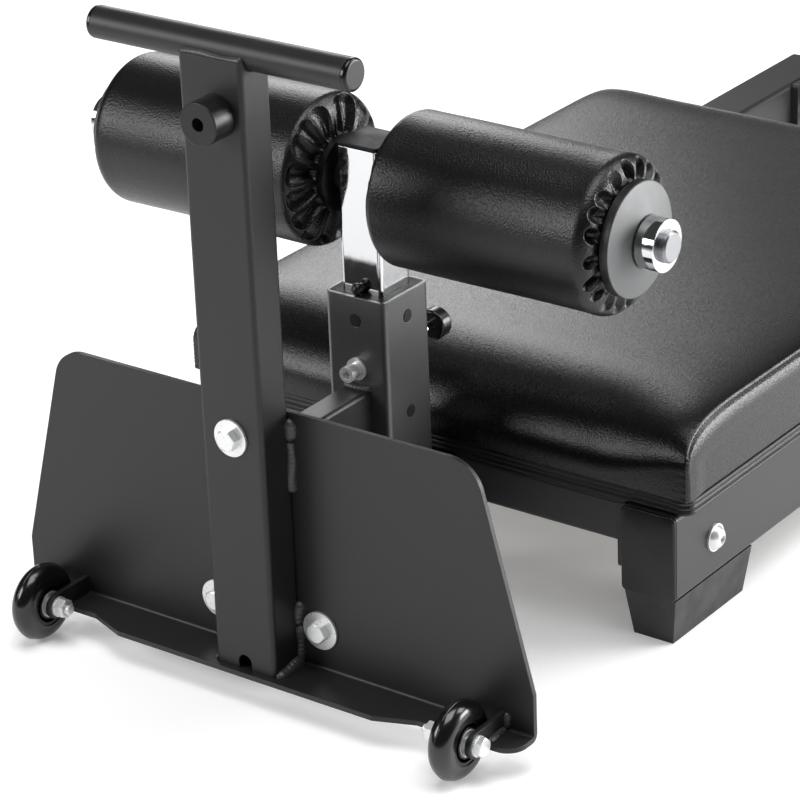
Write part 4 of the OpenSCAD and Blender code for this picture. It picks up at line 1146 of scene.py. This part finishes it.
    def side_panel(self, edge: Grid, sign: int, shares: Grid) -> Grid:
        """A side panel's points between the seam's upright ends and its curve.

        Args:
            edge: the top panel's edge points, with both upright stretches.
            sign: 1 for the right side and -1 for the left one.
            shares: heights as shares of the seam's height, from 0 to 1.

        Returns:
            Points by height and by place along the pad, rows by columns by 3.
        """
        rows = self.panel_rows
        curve = edge[rows - 1: len(edge) - rows + 1]
        y = np.broadcast_to(curve[:, 1], (rows, len(curve))).copy()
        z = shares[:, None] * curve[:, 2][None, :]
        y[:, 0], z[:, 0] = edge[:rows, 1], edge[:rows, 2]
        y[:, -1], z[:, -1] = edge[::-1][:rows, 1], edge[::-1][:rows, 2]
        side_way = np.minimum(y - edge[0, 1], edge[-1, 1] - y)
        steep = 1 / np.sqrt(1 + np.gradient(curve[:, 2], curve[:, 1] + 1e-6 * np.arange(len(curve))) ** 2)
        up_way = (curve[:, 2][None, :] - z) * np.clip(steep, 0.25, 1)[None, :]
        gap = np.clip(np.minimum(side_way, up_way), 0, None)
        seam_x = self.half - self.seam_set(z)
        share = np.exp(-up_way / 12.0)
        seam_x = np.abs(curve[:, 0])[None, :] * share + (self.half - self.groove) * (1 - share)
        seam_x[:, 0], seam_x[:, -1] = np.abs(edge[:rows, 0]), np.abs(edge[::-1][:rows, 0])
        seam_x[-1, :] = np.abs(curve[:, 0])
        high = smooth_step(z, 0.3 * self.side_height, 0.7 * self.side_height)
        puff = self.groove * (1 - np.exp(-((gap / 1.5) ** 2)))
        puff += self.rim * high * np.exp(-(((gap - 11) / 8) ** 2)) * (gap > 0)
        puff -= self.panel_draw * smooth_step(gap, 12, 34)
        reach = np.concatenate([[0], np.cumsum(np.hypot(*np.diff(curve[:, 1:], axis=0).T))])[None, :]
        near_seam = np.exp(-gap / 6) * (1 - np.exp(-((gap / 2.4) ** 2)))
        fold = self.fold * near_seam * np.sin(reach / self.wave + 1.2)
        ends = np.ones_like(puff)
        ends[:, 0] = ends[:, -1] = ends[-1, :] = 0
        return np.stack([sign * (seam_x + (puff + fold) * ends), y, z], axis=-1)

    def build(self) -> bpy.types.Object:
        """Models the stuffed cover in one closed piece, with its seam stitches.

        Returns:
            The cover.
        """
        shares = 0.5 - 0.5 * np.cos(np.linspace(0, math.pi, self.panel_rows))
        t = np.linspace(-1, 1, self.across)
        u = 0.55 * np.sin(t * math.pi / 2) + 0.45 * np.sign(t) * (1 - (1 - np.abs(t)) ** 2.2)
        top = self.top_panel(u)
        sides = [(sign, self.side_panel(top[:, column], sign, shares)) for sign, column in ((1, -1), (-1, 0))]
        parts, faces = [top.reshape(-1, 3)], grid_faces(*top.shape[:2])
        start = top.shape[0] * top.shape[1]
        for sign, panel in sides:
            corners = grid_faces(*panel.shape[:2])
            faces += [tuple(start + c for c in (f if sign < 0 else f[::-1])) for f in corners]
            parts.append(panel.reshape(-1, 3))
            start += panel.shape[0] * panel.shape[1]
        points = np.concatenate(parts)
        low = np.clip(1 - points[:, 2] / self.tuck, 0, 1) ** 2 * self.tuck
        points[:, 0] *= 1 - low / self.half
        from_middle = points[:, 1] - self.length / 2
        points[:, 1] = self.length / 2 + from_middle * (1 - 2 * low / self.length)
        points += [0, self.front, self.base]
        piece = mesh_piece("bench", points, faces)
        self.close_below(piece)
        settle(piece, "bench_cover", "frame", PAD_VINYL, ["pad_cushion"])
        for sign, column in ((1, -1), (-1, 0)):
            seam = top[:, column] + [0, self.front, self.base]
            word = "right" if sign > 0 else "left"
            row = stitched("stitches", seam[2:-2] + [0.1 * sign, 0, 0.1], *self.stitch)
            settle(row, f"{word}_seam_stitches", "frame", THREAD)
        return piece

    def close_below(self, piece: bpy.types.Object) -> None:
        """Sews the panels together and closes the underside of the cover.

        Args:
            piece: the cover's panels.
        """
        clear_selection()
        bpy.context.view_layer.objects.active = piece
        piece.select_set(True)
        bpy.ops.object.mode_set(mode="EDIT")
        bpy.ops.mesh.select_mode(type="VERT")
        bpy.ops.mesh.select_all(action="SELECT")
        bpy.ops.mesh.remove_doubles(threshold=0.00003)
        bpy.ops.mesh.select_all(action="DESELECT")
        bpy.ops.mesh.select_non_manifold()
        bpy.ops.mesh.edge_face_add()
        bpy.ops.mesh.select_all(action="SELECT")
        bpy.ops.mesh.normals_make_consistent(inside=False)
        bpy.ops.object.mode_set(mode="OBJECT")
        piece.data.polygons.foreach_set("use_smooth", [True] * len(piece.data.polygons))
        piece.select_set(False)


@dataclass
class BaseBand:
    """The bound edge round the pad's board: three soft ribs of vinyl with a stitch row in each groove."""

    half_width: float = 297.0
    front: float = -424.5
    rear: float = 370.5
    corner: float = 14.0
    foot: float = 139.0
    ribs: tuple[tuple[float, float, float], ...] = ((0.3, 4.9, 0.0), (5.3, 10.2, -0.5), (10.6, 15.7, 0.0))
    groove: float = 1.5
    thickness: float = 7.4
    arc_points: int = 9
    stitch: tuple[float, float, float] = (4.4, 3.1, 0.8)

    def outline(self, inset: float, step: float = 12.0) -> Grid:
        """Points round the band.

        Args:
            inset: distance in from its outside.
            step: distance between the points along a straight stretch.

        Returns:
            X and Y of each point, without the first one again at the end.
        """
        radius = self.corner - inset
        middle_y = (self.front + self.rear) / 2
        reach_x = self.half_width - self.corner
        reach_y = (self.rear - self.front) / 2 - self.corner
        points = []
        for quarter, (sx, sy) in enumerate(((1, 1), (-1, 1), (-1, -1), (1, -1))):
            for k in range(self.arc_points):
                a = math.radians(quarter * 90 + k * 90 / (self.arc_points - 1))
                points.append((sx * reach_x + radius * math.cos(a),
                               middle_y + sy * reach_y + radius * math.sin(a)))
        loop = np.array(points + points[:1])
        fine = [loop[:1]]
        for a, b in zip(loop[:-1], loop[1:]):
            count = max(1, int(np.linalg.norm(b - a) / step))
            fine.append(a + (b - a) * (np.arange(1, count + 1) / count)[:, None])
        return np.concatenate(fine)[:-1]

    def section(self) -> list[tuple[float, float]]:
        """The band's cross-section.

        Returns:
            Inset from the outside and height over the foot of each point.
        """
        face = []
        for low, high, crest in self.ribs:
            for k in range(self.arc_points):
                share = k / (self.arc_points - 1)
                swell = math.sin(math.pi * share) ** 0.55
                face.append((self.groove * (1 - swell) - crest, low + (high - low) * share))
        return [(self.thickness, self.ribs[0][0]), *face, (self.thickness, self.ribs[-1][1])]

    def build(self) -> bpy.types.Object:
        """Models the band and its two stitch rows.

        Returns:
            The band.
        """
        loops = []
        for inset, height in self.section():
            loop = self.outline(inset)
            loops.append(np.column_stack([loop, np.full(len(loop), self.foot + height)]))
        faces = grid_faces(len(loops), len(loops[0]), close_rows=True, close_columns=True)
        piece = mesh_piece("band", np.concatenate(loops), faces)
        settle(piece, "bound_base", "frame", BAND_VINYL, ["pad_band"])
        for number, (lower, upper) in enumerate(zip(self.ribs[:-1], self.ribs[1:])):
            height = self.foot + (lower[1] + upper[0]) / 2
            loop = self.outline(self.groove - 0.5)
            loop = np.concatenate([loop, loop[:1]])
            line = np.column_stack([loop, np.full(len(loop), height)])
            row = stitched("stitches", line, *self.stitch)
            settle(row, f"base_stitches_{number + 1}", "frame", THREAD)
        return piece


# Hard parts


@dataclass(frozen=True)
class HexSize:
    """A metric hex size: width across flats, heights of head and nut, thread diameter and the nut's bore."""

    flats: float
    head: float
    nut: float
    diameter: float
    bore: float


M12 = HexSize(19, 7.5, 10, 12, 12.2)
M10 = HexSize(17, 6.5, 9, 10, 10.2)


@dataclass
class HexFasteners:
    """The large hex bolts and nuts of the foot plate and the wheels, with chamfered corners and shank ends.

    A plate bolt is given by its X and Z and the turn of its head in degrees.
    """

    chamfer: float = 30.0
    thread_length: float = 22.0
    thread_pitch: float = 1.5
    thread_turns: int = 14
    thread_depth: float = 0.75
    upright_depth: float = 40.0
    sheet: float = 5.0
    joint_plate: float = 8.0
    washer: float = 2.5
    tail: float = 14.0
    low_bolts: tuple[tuple[float, float, float], ...] = ((-60.0, 74.0, 8.0), (60.0, 74.0, 39.0))
    high_bolt: tuple[float, float, float] = (0.0, 272.0, 22.0)
    nut_face: float = -670.0
    nut_turn: float = 17.0
    fork_half: float = 20.5
    axle_turn: float = 12.0
    axle_nut_turn: float = 5.0

    def hexagon(self, flats: float, height: float, bore: float = 0.0) -> bpy.types.Object:
        """A hex head or nut that stands on the origin, with its far corners chamfered.

        Args:
            flats: width across flats in millimetres.
            height: its height.
            bore: diameter of its hole, or 0 for a head.

        Returns:
            The piece along Z.
        """
        clear_selection()
        bpy.ops.mesh.primitive_cylinder_add(vertices=6, radius=flats / 2 / math.cos(math.pi / 6) * MM,
                                            depth=height * MM, location=(0, 0, height / 2 * MM))
        head = bpy.context.object
        rise = math.tan(math.radians(self.chamfer))
        flat = 0.47 * flats
        reach = 0.66 * flats
        side = [(reach, 0.0), (reach, height - (reach - flat) * rise), (flat, height)]
        if bore:
            outline = [(bore / 2, 0.0), *side, (bore / 2 + 0.8, height), (bore / 2, height - 0.8)]
        else:
            outline = [(0.0, 0.0), *side, (0.0, height)]
        cutter = turned(outline)
        clip = head.modifiers.new("chamfer", "BOOLEAN")
        clip.operation = "INTERSECT"
        clip.object = cutter
        clip.solver = "EXACT"
        finished(head, 20.0)
        bpy.data.objects.remove(cutter)
        return head

    def shank(self, diameter: float, length: float) -> bpy.types.Object:
        """A bolt's shank from the origin up, with a chamfered, threaded end.

        Args:
            diameter: the thread's outer diameter in millimetres.
            length: length under the head.

        Returns:
            The shank along Z.
        """
        r = diameter / 2
        outline = [(0.0, 0.0), (r, 0.0), (r, length - self.thread_length)]
        for k in range(self.thread_turns):
            z = length - self.thread_length + self.thread_pitch * k
            outline += [(r, z + 0.35), (r - self.thread_depth, z + 0.75), (r, z + 1.15)]
        outline += [(r, length - 0.9), (r - 0.9, length), (0.0, length)]
        return turned(outline, 48)

    def bolt(self, size: HexSize, length: float) -> bpy.types.Object:
        """A whole bolt: its head below the origin and its shank above it.

        Args:
            size: its hex size.
            length: length under the head.

        Returns:
            The bolt along Z.
        """
        head = self.hexagon(size.flats, size.head)
        head.data.transform(Matrix.Rotation(math.pi, 4, "X"))
        return joined([head, self.shank(size.diameter, length)])

    def nut(self, size: HexSize) -> bpy.types.Object:
        """A nut that stands on the origin."""
        return self.hexagon(size.flats, size.nut, size.bore)

    def plate_fasteners(self) -> None:
        """The three bolts through the foot plate and the plates behind it, and their nuts."""
        back = (0.0, 1.0, 0.0)
        stack = self.sheet + self.joint_plate + 2 * self.washer
        bolts, nuts = [], []
        for seat, rows in ((0.0, self.low_bolts), (self.upright_depth, (self.high_bolt,))):
            for x, z, turn in rows:
                place = (x, PLATE_FRONT - seat - self.washer, z)
                bolts.append(stood(self.bolt(M12, seat + stack + self.tail), place, back, turn))
                nuts.append(stood(self.nut(M12), (x, self.nut_face, z), back, self.nut_turn))
        settle(joined(bolts), "plate_hex_bolts", "frame", ZINC, ["plate_bolts"])
        settle(joined(nuts), "plate_hex_nuts", "frame", ZINC, ["plate_nuts"])

    def axles(self) -> None:
        """The axle bolt of each wheel and its nut on the fork's inner side."""
        x, y, z = WHEEL_AXIS
        reach = self.fork_half + self.washer
        bolts, nuts = [], []
        for side in Side:
            sign = side.value
            inward = (-sign, 0, 0)
            bolt = self.bolt(M10, 2 * reach + self.tail)
            bolts.append(stood(bolt, (sign * (x + reach), y, z), inward, self.axle_turn))
            nuts.append(stood(self.nut(M10), (sign * (x - reach), y, z), inward, self.axle_nut_turn))
        settle(joined(bolts), "axle_bolts", "frame", ZINC, ["wheel_axles"])
        settle(joined(nuts), "axle_nuts", "frame", ZINC, ["wheel_nuts"])

    def build(self) -> None:
        """Models every hex bolt and nut."""
        self.plate_fasteners()
        self.axles()


@dataclass
class WeldBeads:
    """Hand-laid fillet welds: lumpy beads in the corners between plates and tubes, painted over.

    An upright run is given by its two heights and its leg, the bead's width on each wall.
    """

    ripple: float = 4.6
    seed: int = 5
    upright_half: float = 35.0
    upright_runs: tuple[tuple[float, float, float], ...] = (
        (284.0, 262.0, 8.0), (264.0, 210.0, 6.4), (98.0, 72.0, 7.0), (74.0, 33.5, 7.0))
    flange_top: float = 33.5
    flange_run: tuple[float, float, float] = (-724.0, -684.5, 7.5)
    arm_x: float = 266.0
    arm_run: tuple[float, float, float] = (-714.5, -687.5, 5.0)
    arm_rise: tuple[float, float] = (50.5, 4.6)
    handle_faces: tuple[float, float] = (-720.6, -690.4)
    handle_run: tuple[float, float, float] = (34.0, 632.5, 4.0)
    receiver_front: float = -535.5
    strut_edges: tuple[float, float] = (188.0, 248.0)
    strut_run: tuple[float, float] = (16.0, 5.6)

    def bead(self, start: Sequence[float], end: Sequence[float], out: Sequence[float], up: Sequence[float],
             leg: float) -> bpy.types.Object:
        """One bead along an inside corner.

        Args:
            start: first end of the corner line in millimetres.
            end: its other end.
            out: direction along one wall, away from the corner.
            up: direction along the other wall.
            leg: width of the bead on each wall.

        Returns:
            The bead.
        """
        dice = random.Random(self.seed + int(abs(sum(start)) + abs(sum(end))))
        a, b = np.array(start, float), np.array(end, float)
        length = float(np.linalg.norm(b - a))
        along = np.linspace(0, 1, max(12, int(length / 0.7)))
        place = along * length
        phase = [dice.uniform(0, 6.28) for _ in range(4)]
        ripple = np.abs(np.sin(math.pi * place / self.ripple + 0.7 * np.sin(place / 7 + phase[0]))) ** 0.8
        lump = np.sin(place / 11 + phase[1]) + 0.6 * np.sin(place / 5.3 + phase[2])
        size = leg * (0.84 + 0.05 * ripple + 0.11 * lump)
        size *= np.clip(np.minimum(place, length - place) / leg * 1.6, 0.03, 1) ** 0.4
        sway = 0.12 * np.sin(place / 8 + phase[3])
        turn = np.linspace(0, math.pi / 2, 9)
        u, v = np.array(out, float), np.array(up, float)
        line = a + (b - a) * along[:, None]
        wide, high = size * (1 + sway), size * (1 - sway)
        arc = [line + (wide * math.cos(t))[:, None] * u + (high * math.sin(t))[:, None] * v for t in turn]
        points = np.stack([line - 0.3 * (u + v), *arc], axis=1)
        rows, columns = points.shape[:2]
        faces = grid_faces(rows, columns, close_columns=True)
        faces += [tuple(range(columns)), tuple((rows - 1) * columns + k for k in reversed(range(columns)))]
        return finished(mesh_piece("bead", points.reshape(-1, 3), faces), 80.0)

    def build(self) -> None:
        """Lays every bead of the welded frame."""
        beads = []
        front, rear, flange_leg = self.flange_run
        arm_front, arm_rear, arm_leg = self.arm_run
        arm_top, rise_leg = self.arm_rise
        low = self.flange_top
        for side in Side:
            out = (side.value, 0, 0)
            x, arm_x = side.value * self.upright_half, side.value * self.arm_x
            beads += [self.bead((x, PLATE_FRONT, top), (x, PLATE_FRONT, bottom), out, (0, -1, 0), leg)
                      for top, bottom, leg in self.upright_runs]
            beads.append(self.bead((x, front, low), (x, rear, low), out, (0, 0, 1), flange_leg))
            beads.append(self.bead((arm_x, arm_front, low), (arm_x, arm_rear, low), out, (0, 0, 1), arm_leg))
            beads.append(self.bead((arm_x, PLATE_FRONT, low), (arm_x, PLATE_FRONT, arm_top), out, (0, -1, 0),
                                   rise_leg))
        reach, z, leg = self.handle_run
        for y, way in zip(self.handle_faces, (-1, 1)):
            beads.append(self.bead((-reach, y, z), (reach, y, z), (0, way, 0), (0, 0, 1), leg))
        reach, leg = self.strut_run
        y = self.receiver_front
        for z, way in zip(self.strut_edges, (-1, 1)):
            beads.append(self.bead((-reach, y, z), (reach, y, z), (0, -1, 0), (0, 0, way), leg))
        settle(joined(beads), "fillet_welds", "frame", WELD_POWDER, ["weld_beads"])


@dataclass
class Trim:
    """Small moulded pieces: the rails' end caps, the post's cap and the wheels' mould lines."""

    rail_x: float = 255.0
    rail_section: tuple[float, float] = (60.0, 90.0)
    rail_corner: float = 6.0
    rail_ends: tuple[float, float] = (-429.5, 767.5)
    rail_middle: float = 94.0
    cap_thickness: float = 4.0
    cap_edge: float = 1.9
    post_top: float = 483.0
    post_corner: float = 4.0
    skirt: tuple[float, float, float] = (46.0, 2.2, 0.5)
    plate: tuple[float, float, float] = (47.4, 2.6, 0.9)
    plate_overlap: float = 0.3
    tread: float = 38.0
    mould_line: float = 0.45

    def rail_caps(self) -> None:
        """Four end caps with soft edges."""
        caps = []
        for side in Side:
            for y in self.rail_ends:
                size = (*self.rail_section, self.cap_thickness)
                cap = block(size, (0, 0, 0), self.rail_corner, self.cap_edge)
                place = Vector((side.value * self.rail_x, y, self.rail_middle)) * MM
                cap.data.transform(Matrix.Translation(place) @ Matrix.Rotation(math.pi / 2, 4, "X"))
                caps.append(cap)
        settle(joined(caps), "rail_end_caps", "frame", GLOSS_PLASTIC, ["rail_caps"])

    def post_cap(self) -> None:
        """The post's cap: a thin skirt under a plate, each given as width, height and edge radius."""
        slabs, foot = [], self.post_top
        for width, height, edge in (self.skirt, self.plate):
            place = (0, SHAFT_AXIS[0], foot + height / 2)
            slabs.append(block((width, width, height), place, self.post_corner, edge))
            foot += height - self.plate_overlap
        settle(joined(slabs), "post_end_cap", "post", DULL_PLASTIC, ["post_cap"])

    def mould_lines(self) -> None:
        """A thin parting line round each tyre."""
        x, y, z = WHEEL_AXIS
        for side in Side:
            clear_selection()
            bpy.ops.mesh.primitive_torus_add(major_radius=(self.tread - 0.1) * MM,
                                             minor_radius=self.mould_line * MM,
                                             major_segments=120, minor_segments=8)
            line = stood(finished(bpy.context.object), (side.value * x, y, z), (1, 0, 0))
            settle(line, f"{side.word}_mould_line", f"{side.word}_wheel", WHEEL_RUBBER)

    def build(self) -> None:
        """Models every piece of trim."""
        self.rail_caps()
        self.post_cap()
        self.mould_lines()


# Studio


@dataclass(frozen=True)
class PhotoCamera:
    """The camera that took the reference picture, solved from the machine's own corners."""

    place: tuple[float, float, float] = (1815.2, -2889.1, 1601.0)
    azimuth: float = 36.89
    elevation: float = 24.72
    roll: float = -2.25
    focal_pixels: float = 3461.15
    picture_width: int = 800
    sensor: float = 36.0

    def build(self) -> None:
        """Adds the camera and makes it the scene's."""
        az, el, roll = (math.radians(a) for a in (self.azimuth, self.elevation, self.roll))
        ahead = Vector((-math.sin(az) * math.cos(el), math.cos(az) * math.cos(el), -math.sin(el)))
        right = Vector((math.cos(az), math.sin(az), 0))
        up = right.cross(ahead)
        turned_right = right * math.cos(roll) + up * math.sin(roll)
        turned_up = up * math.cos(roll) - right * math.sin(roll)
        data = bpy.data.cameras.new("photo_camera")
        data.sensor_width = self.sensor
        data.lens = self.focal_pixels / self.picture_width * self.sensor
        data.clip_end = 50.0
        camera = bpy.data.objects.new("photo_camera", data)
        bpy.context.scene.collection.objects.link(camera)
        turn = Matrix((turned_right, turned_up, -ahead)).transposed().to_4x4()
        camera.matrix_world = Matrix.Translation(Vector(self.place) * MM) @ turn
        bpy.context.scene.camera = camera


@dataclass(frozen=True)
class Softbox:
    """An oblong studio light that looks at a point."""

    name: str
    place: tuple[float, float, float]
    target: tuple[float, float, float]
    width: float
    height: float
    power: float

    def build(self) -> None:
        """Adds the light."""
        data = bpy.data.lights.new(self.name, "AREA")
        data.shape = "RECTANGLE"
        data.size = self.width
        data.size_y = self.height
        data.energy = self.power
        light = bpy.data.objects.new(self.name, data)
        bpy.context.scene.collection.objects.link(light)
        aim = Vector(self.target) - Vector(self.place)
        turn = aim.to_track_quat("-Z", "Y").to_matrix().to_4x4()
        light.matrix_world = Matrix.Translation(self.place) @ turn


SOFTBOXES = (
    Softbox("overhead_softbox", (0.6, -1.0, 5.0), (0.0, -0.3, 0.2), 3.4, 3.4, 184.0),
    Softbox("rear_softbox", (1.5, 1.0, 2.0), (0.9, 0.5, 0.0), 1.4, 1.4, 36.0),
    Softbox("back_softbox", (-2.6, 3.2, 2.5), (0.0, -0.1, 0.2), 3.2, 3.2, 12.0),
    Softbox("pad_softbox", (-1.50, 1.35, 1.30), (0.03, -0.31, 0.23), 0.9, 0.9, 13.5),
    Softbox("front_softbox", (-1.42, -2.35, 1.32), (0.0, -0.5, 0.4), 1.15, 1.0, 32.0),
    Softbox("side_softbox", (2.6, 1.7, 0.75), (0.0, -0.2, 0.3), 2.0, 1.2, 110.0),
)


@dataclass(frozen=True)
class Studio:
    """A plain pale floor under soft light."""

    floor_size: float = 24.0
    room_light: float = 0.06

    def build(self) -> None:
        """Adds the floor, the lights and the room's even light."""
        clear_selection()
        bpy.ops.mesh.primitive_plane_add(size=self.floor_size)
        floor = bpy.context.object
        floor.name = "studio_floor"
        FLOOR_PAINT.dress(floor)
        world = bpy.data.worlds.new("studio_room")
        world.use_nodes = True
        tree = world.node_tree
        tree.nodes.clear()
        room = add_node(tree, "Background", {}, {"Color": linear("ffffff"), "Strength": self.room_light})
        add_node(tree, "OutputWorld", {}, {"Surface": room.outputs[0]})
        bpy.context.scene.world = world
        for light in SOFTBOXES:
            light.build()
        scene = bpy.context.scene
        scene.view_settings.view_transform = "Standard"
        scene.view_settings.look = "None"


def dress_frame() -> None:
    """Gives every node of the frame its finish."""
    for finish, names in FINISH_OF.items():
        for name in names.split():
            finish.dress(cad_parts[name])


def main() -> None:
    """Dresses the frame and builds each sub-assembly in order."""
    logging.basicConfig(level=logging.INFO, format="%(name)s: %(message)s", stream=sys.stdout)
    PhotoCamera().build()
    dress_frame()
    Studio().build()
    for side in Side:
        RollerCover(side).build()
    Bench().build()
    BaseBand().build()
    HexFasteners().build()
    WeldBeads().build()
    Trim().build()


if __name__ == "__main__":
    main()
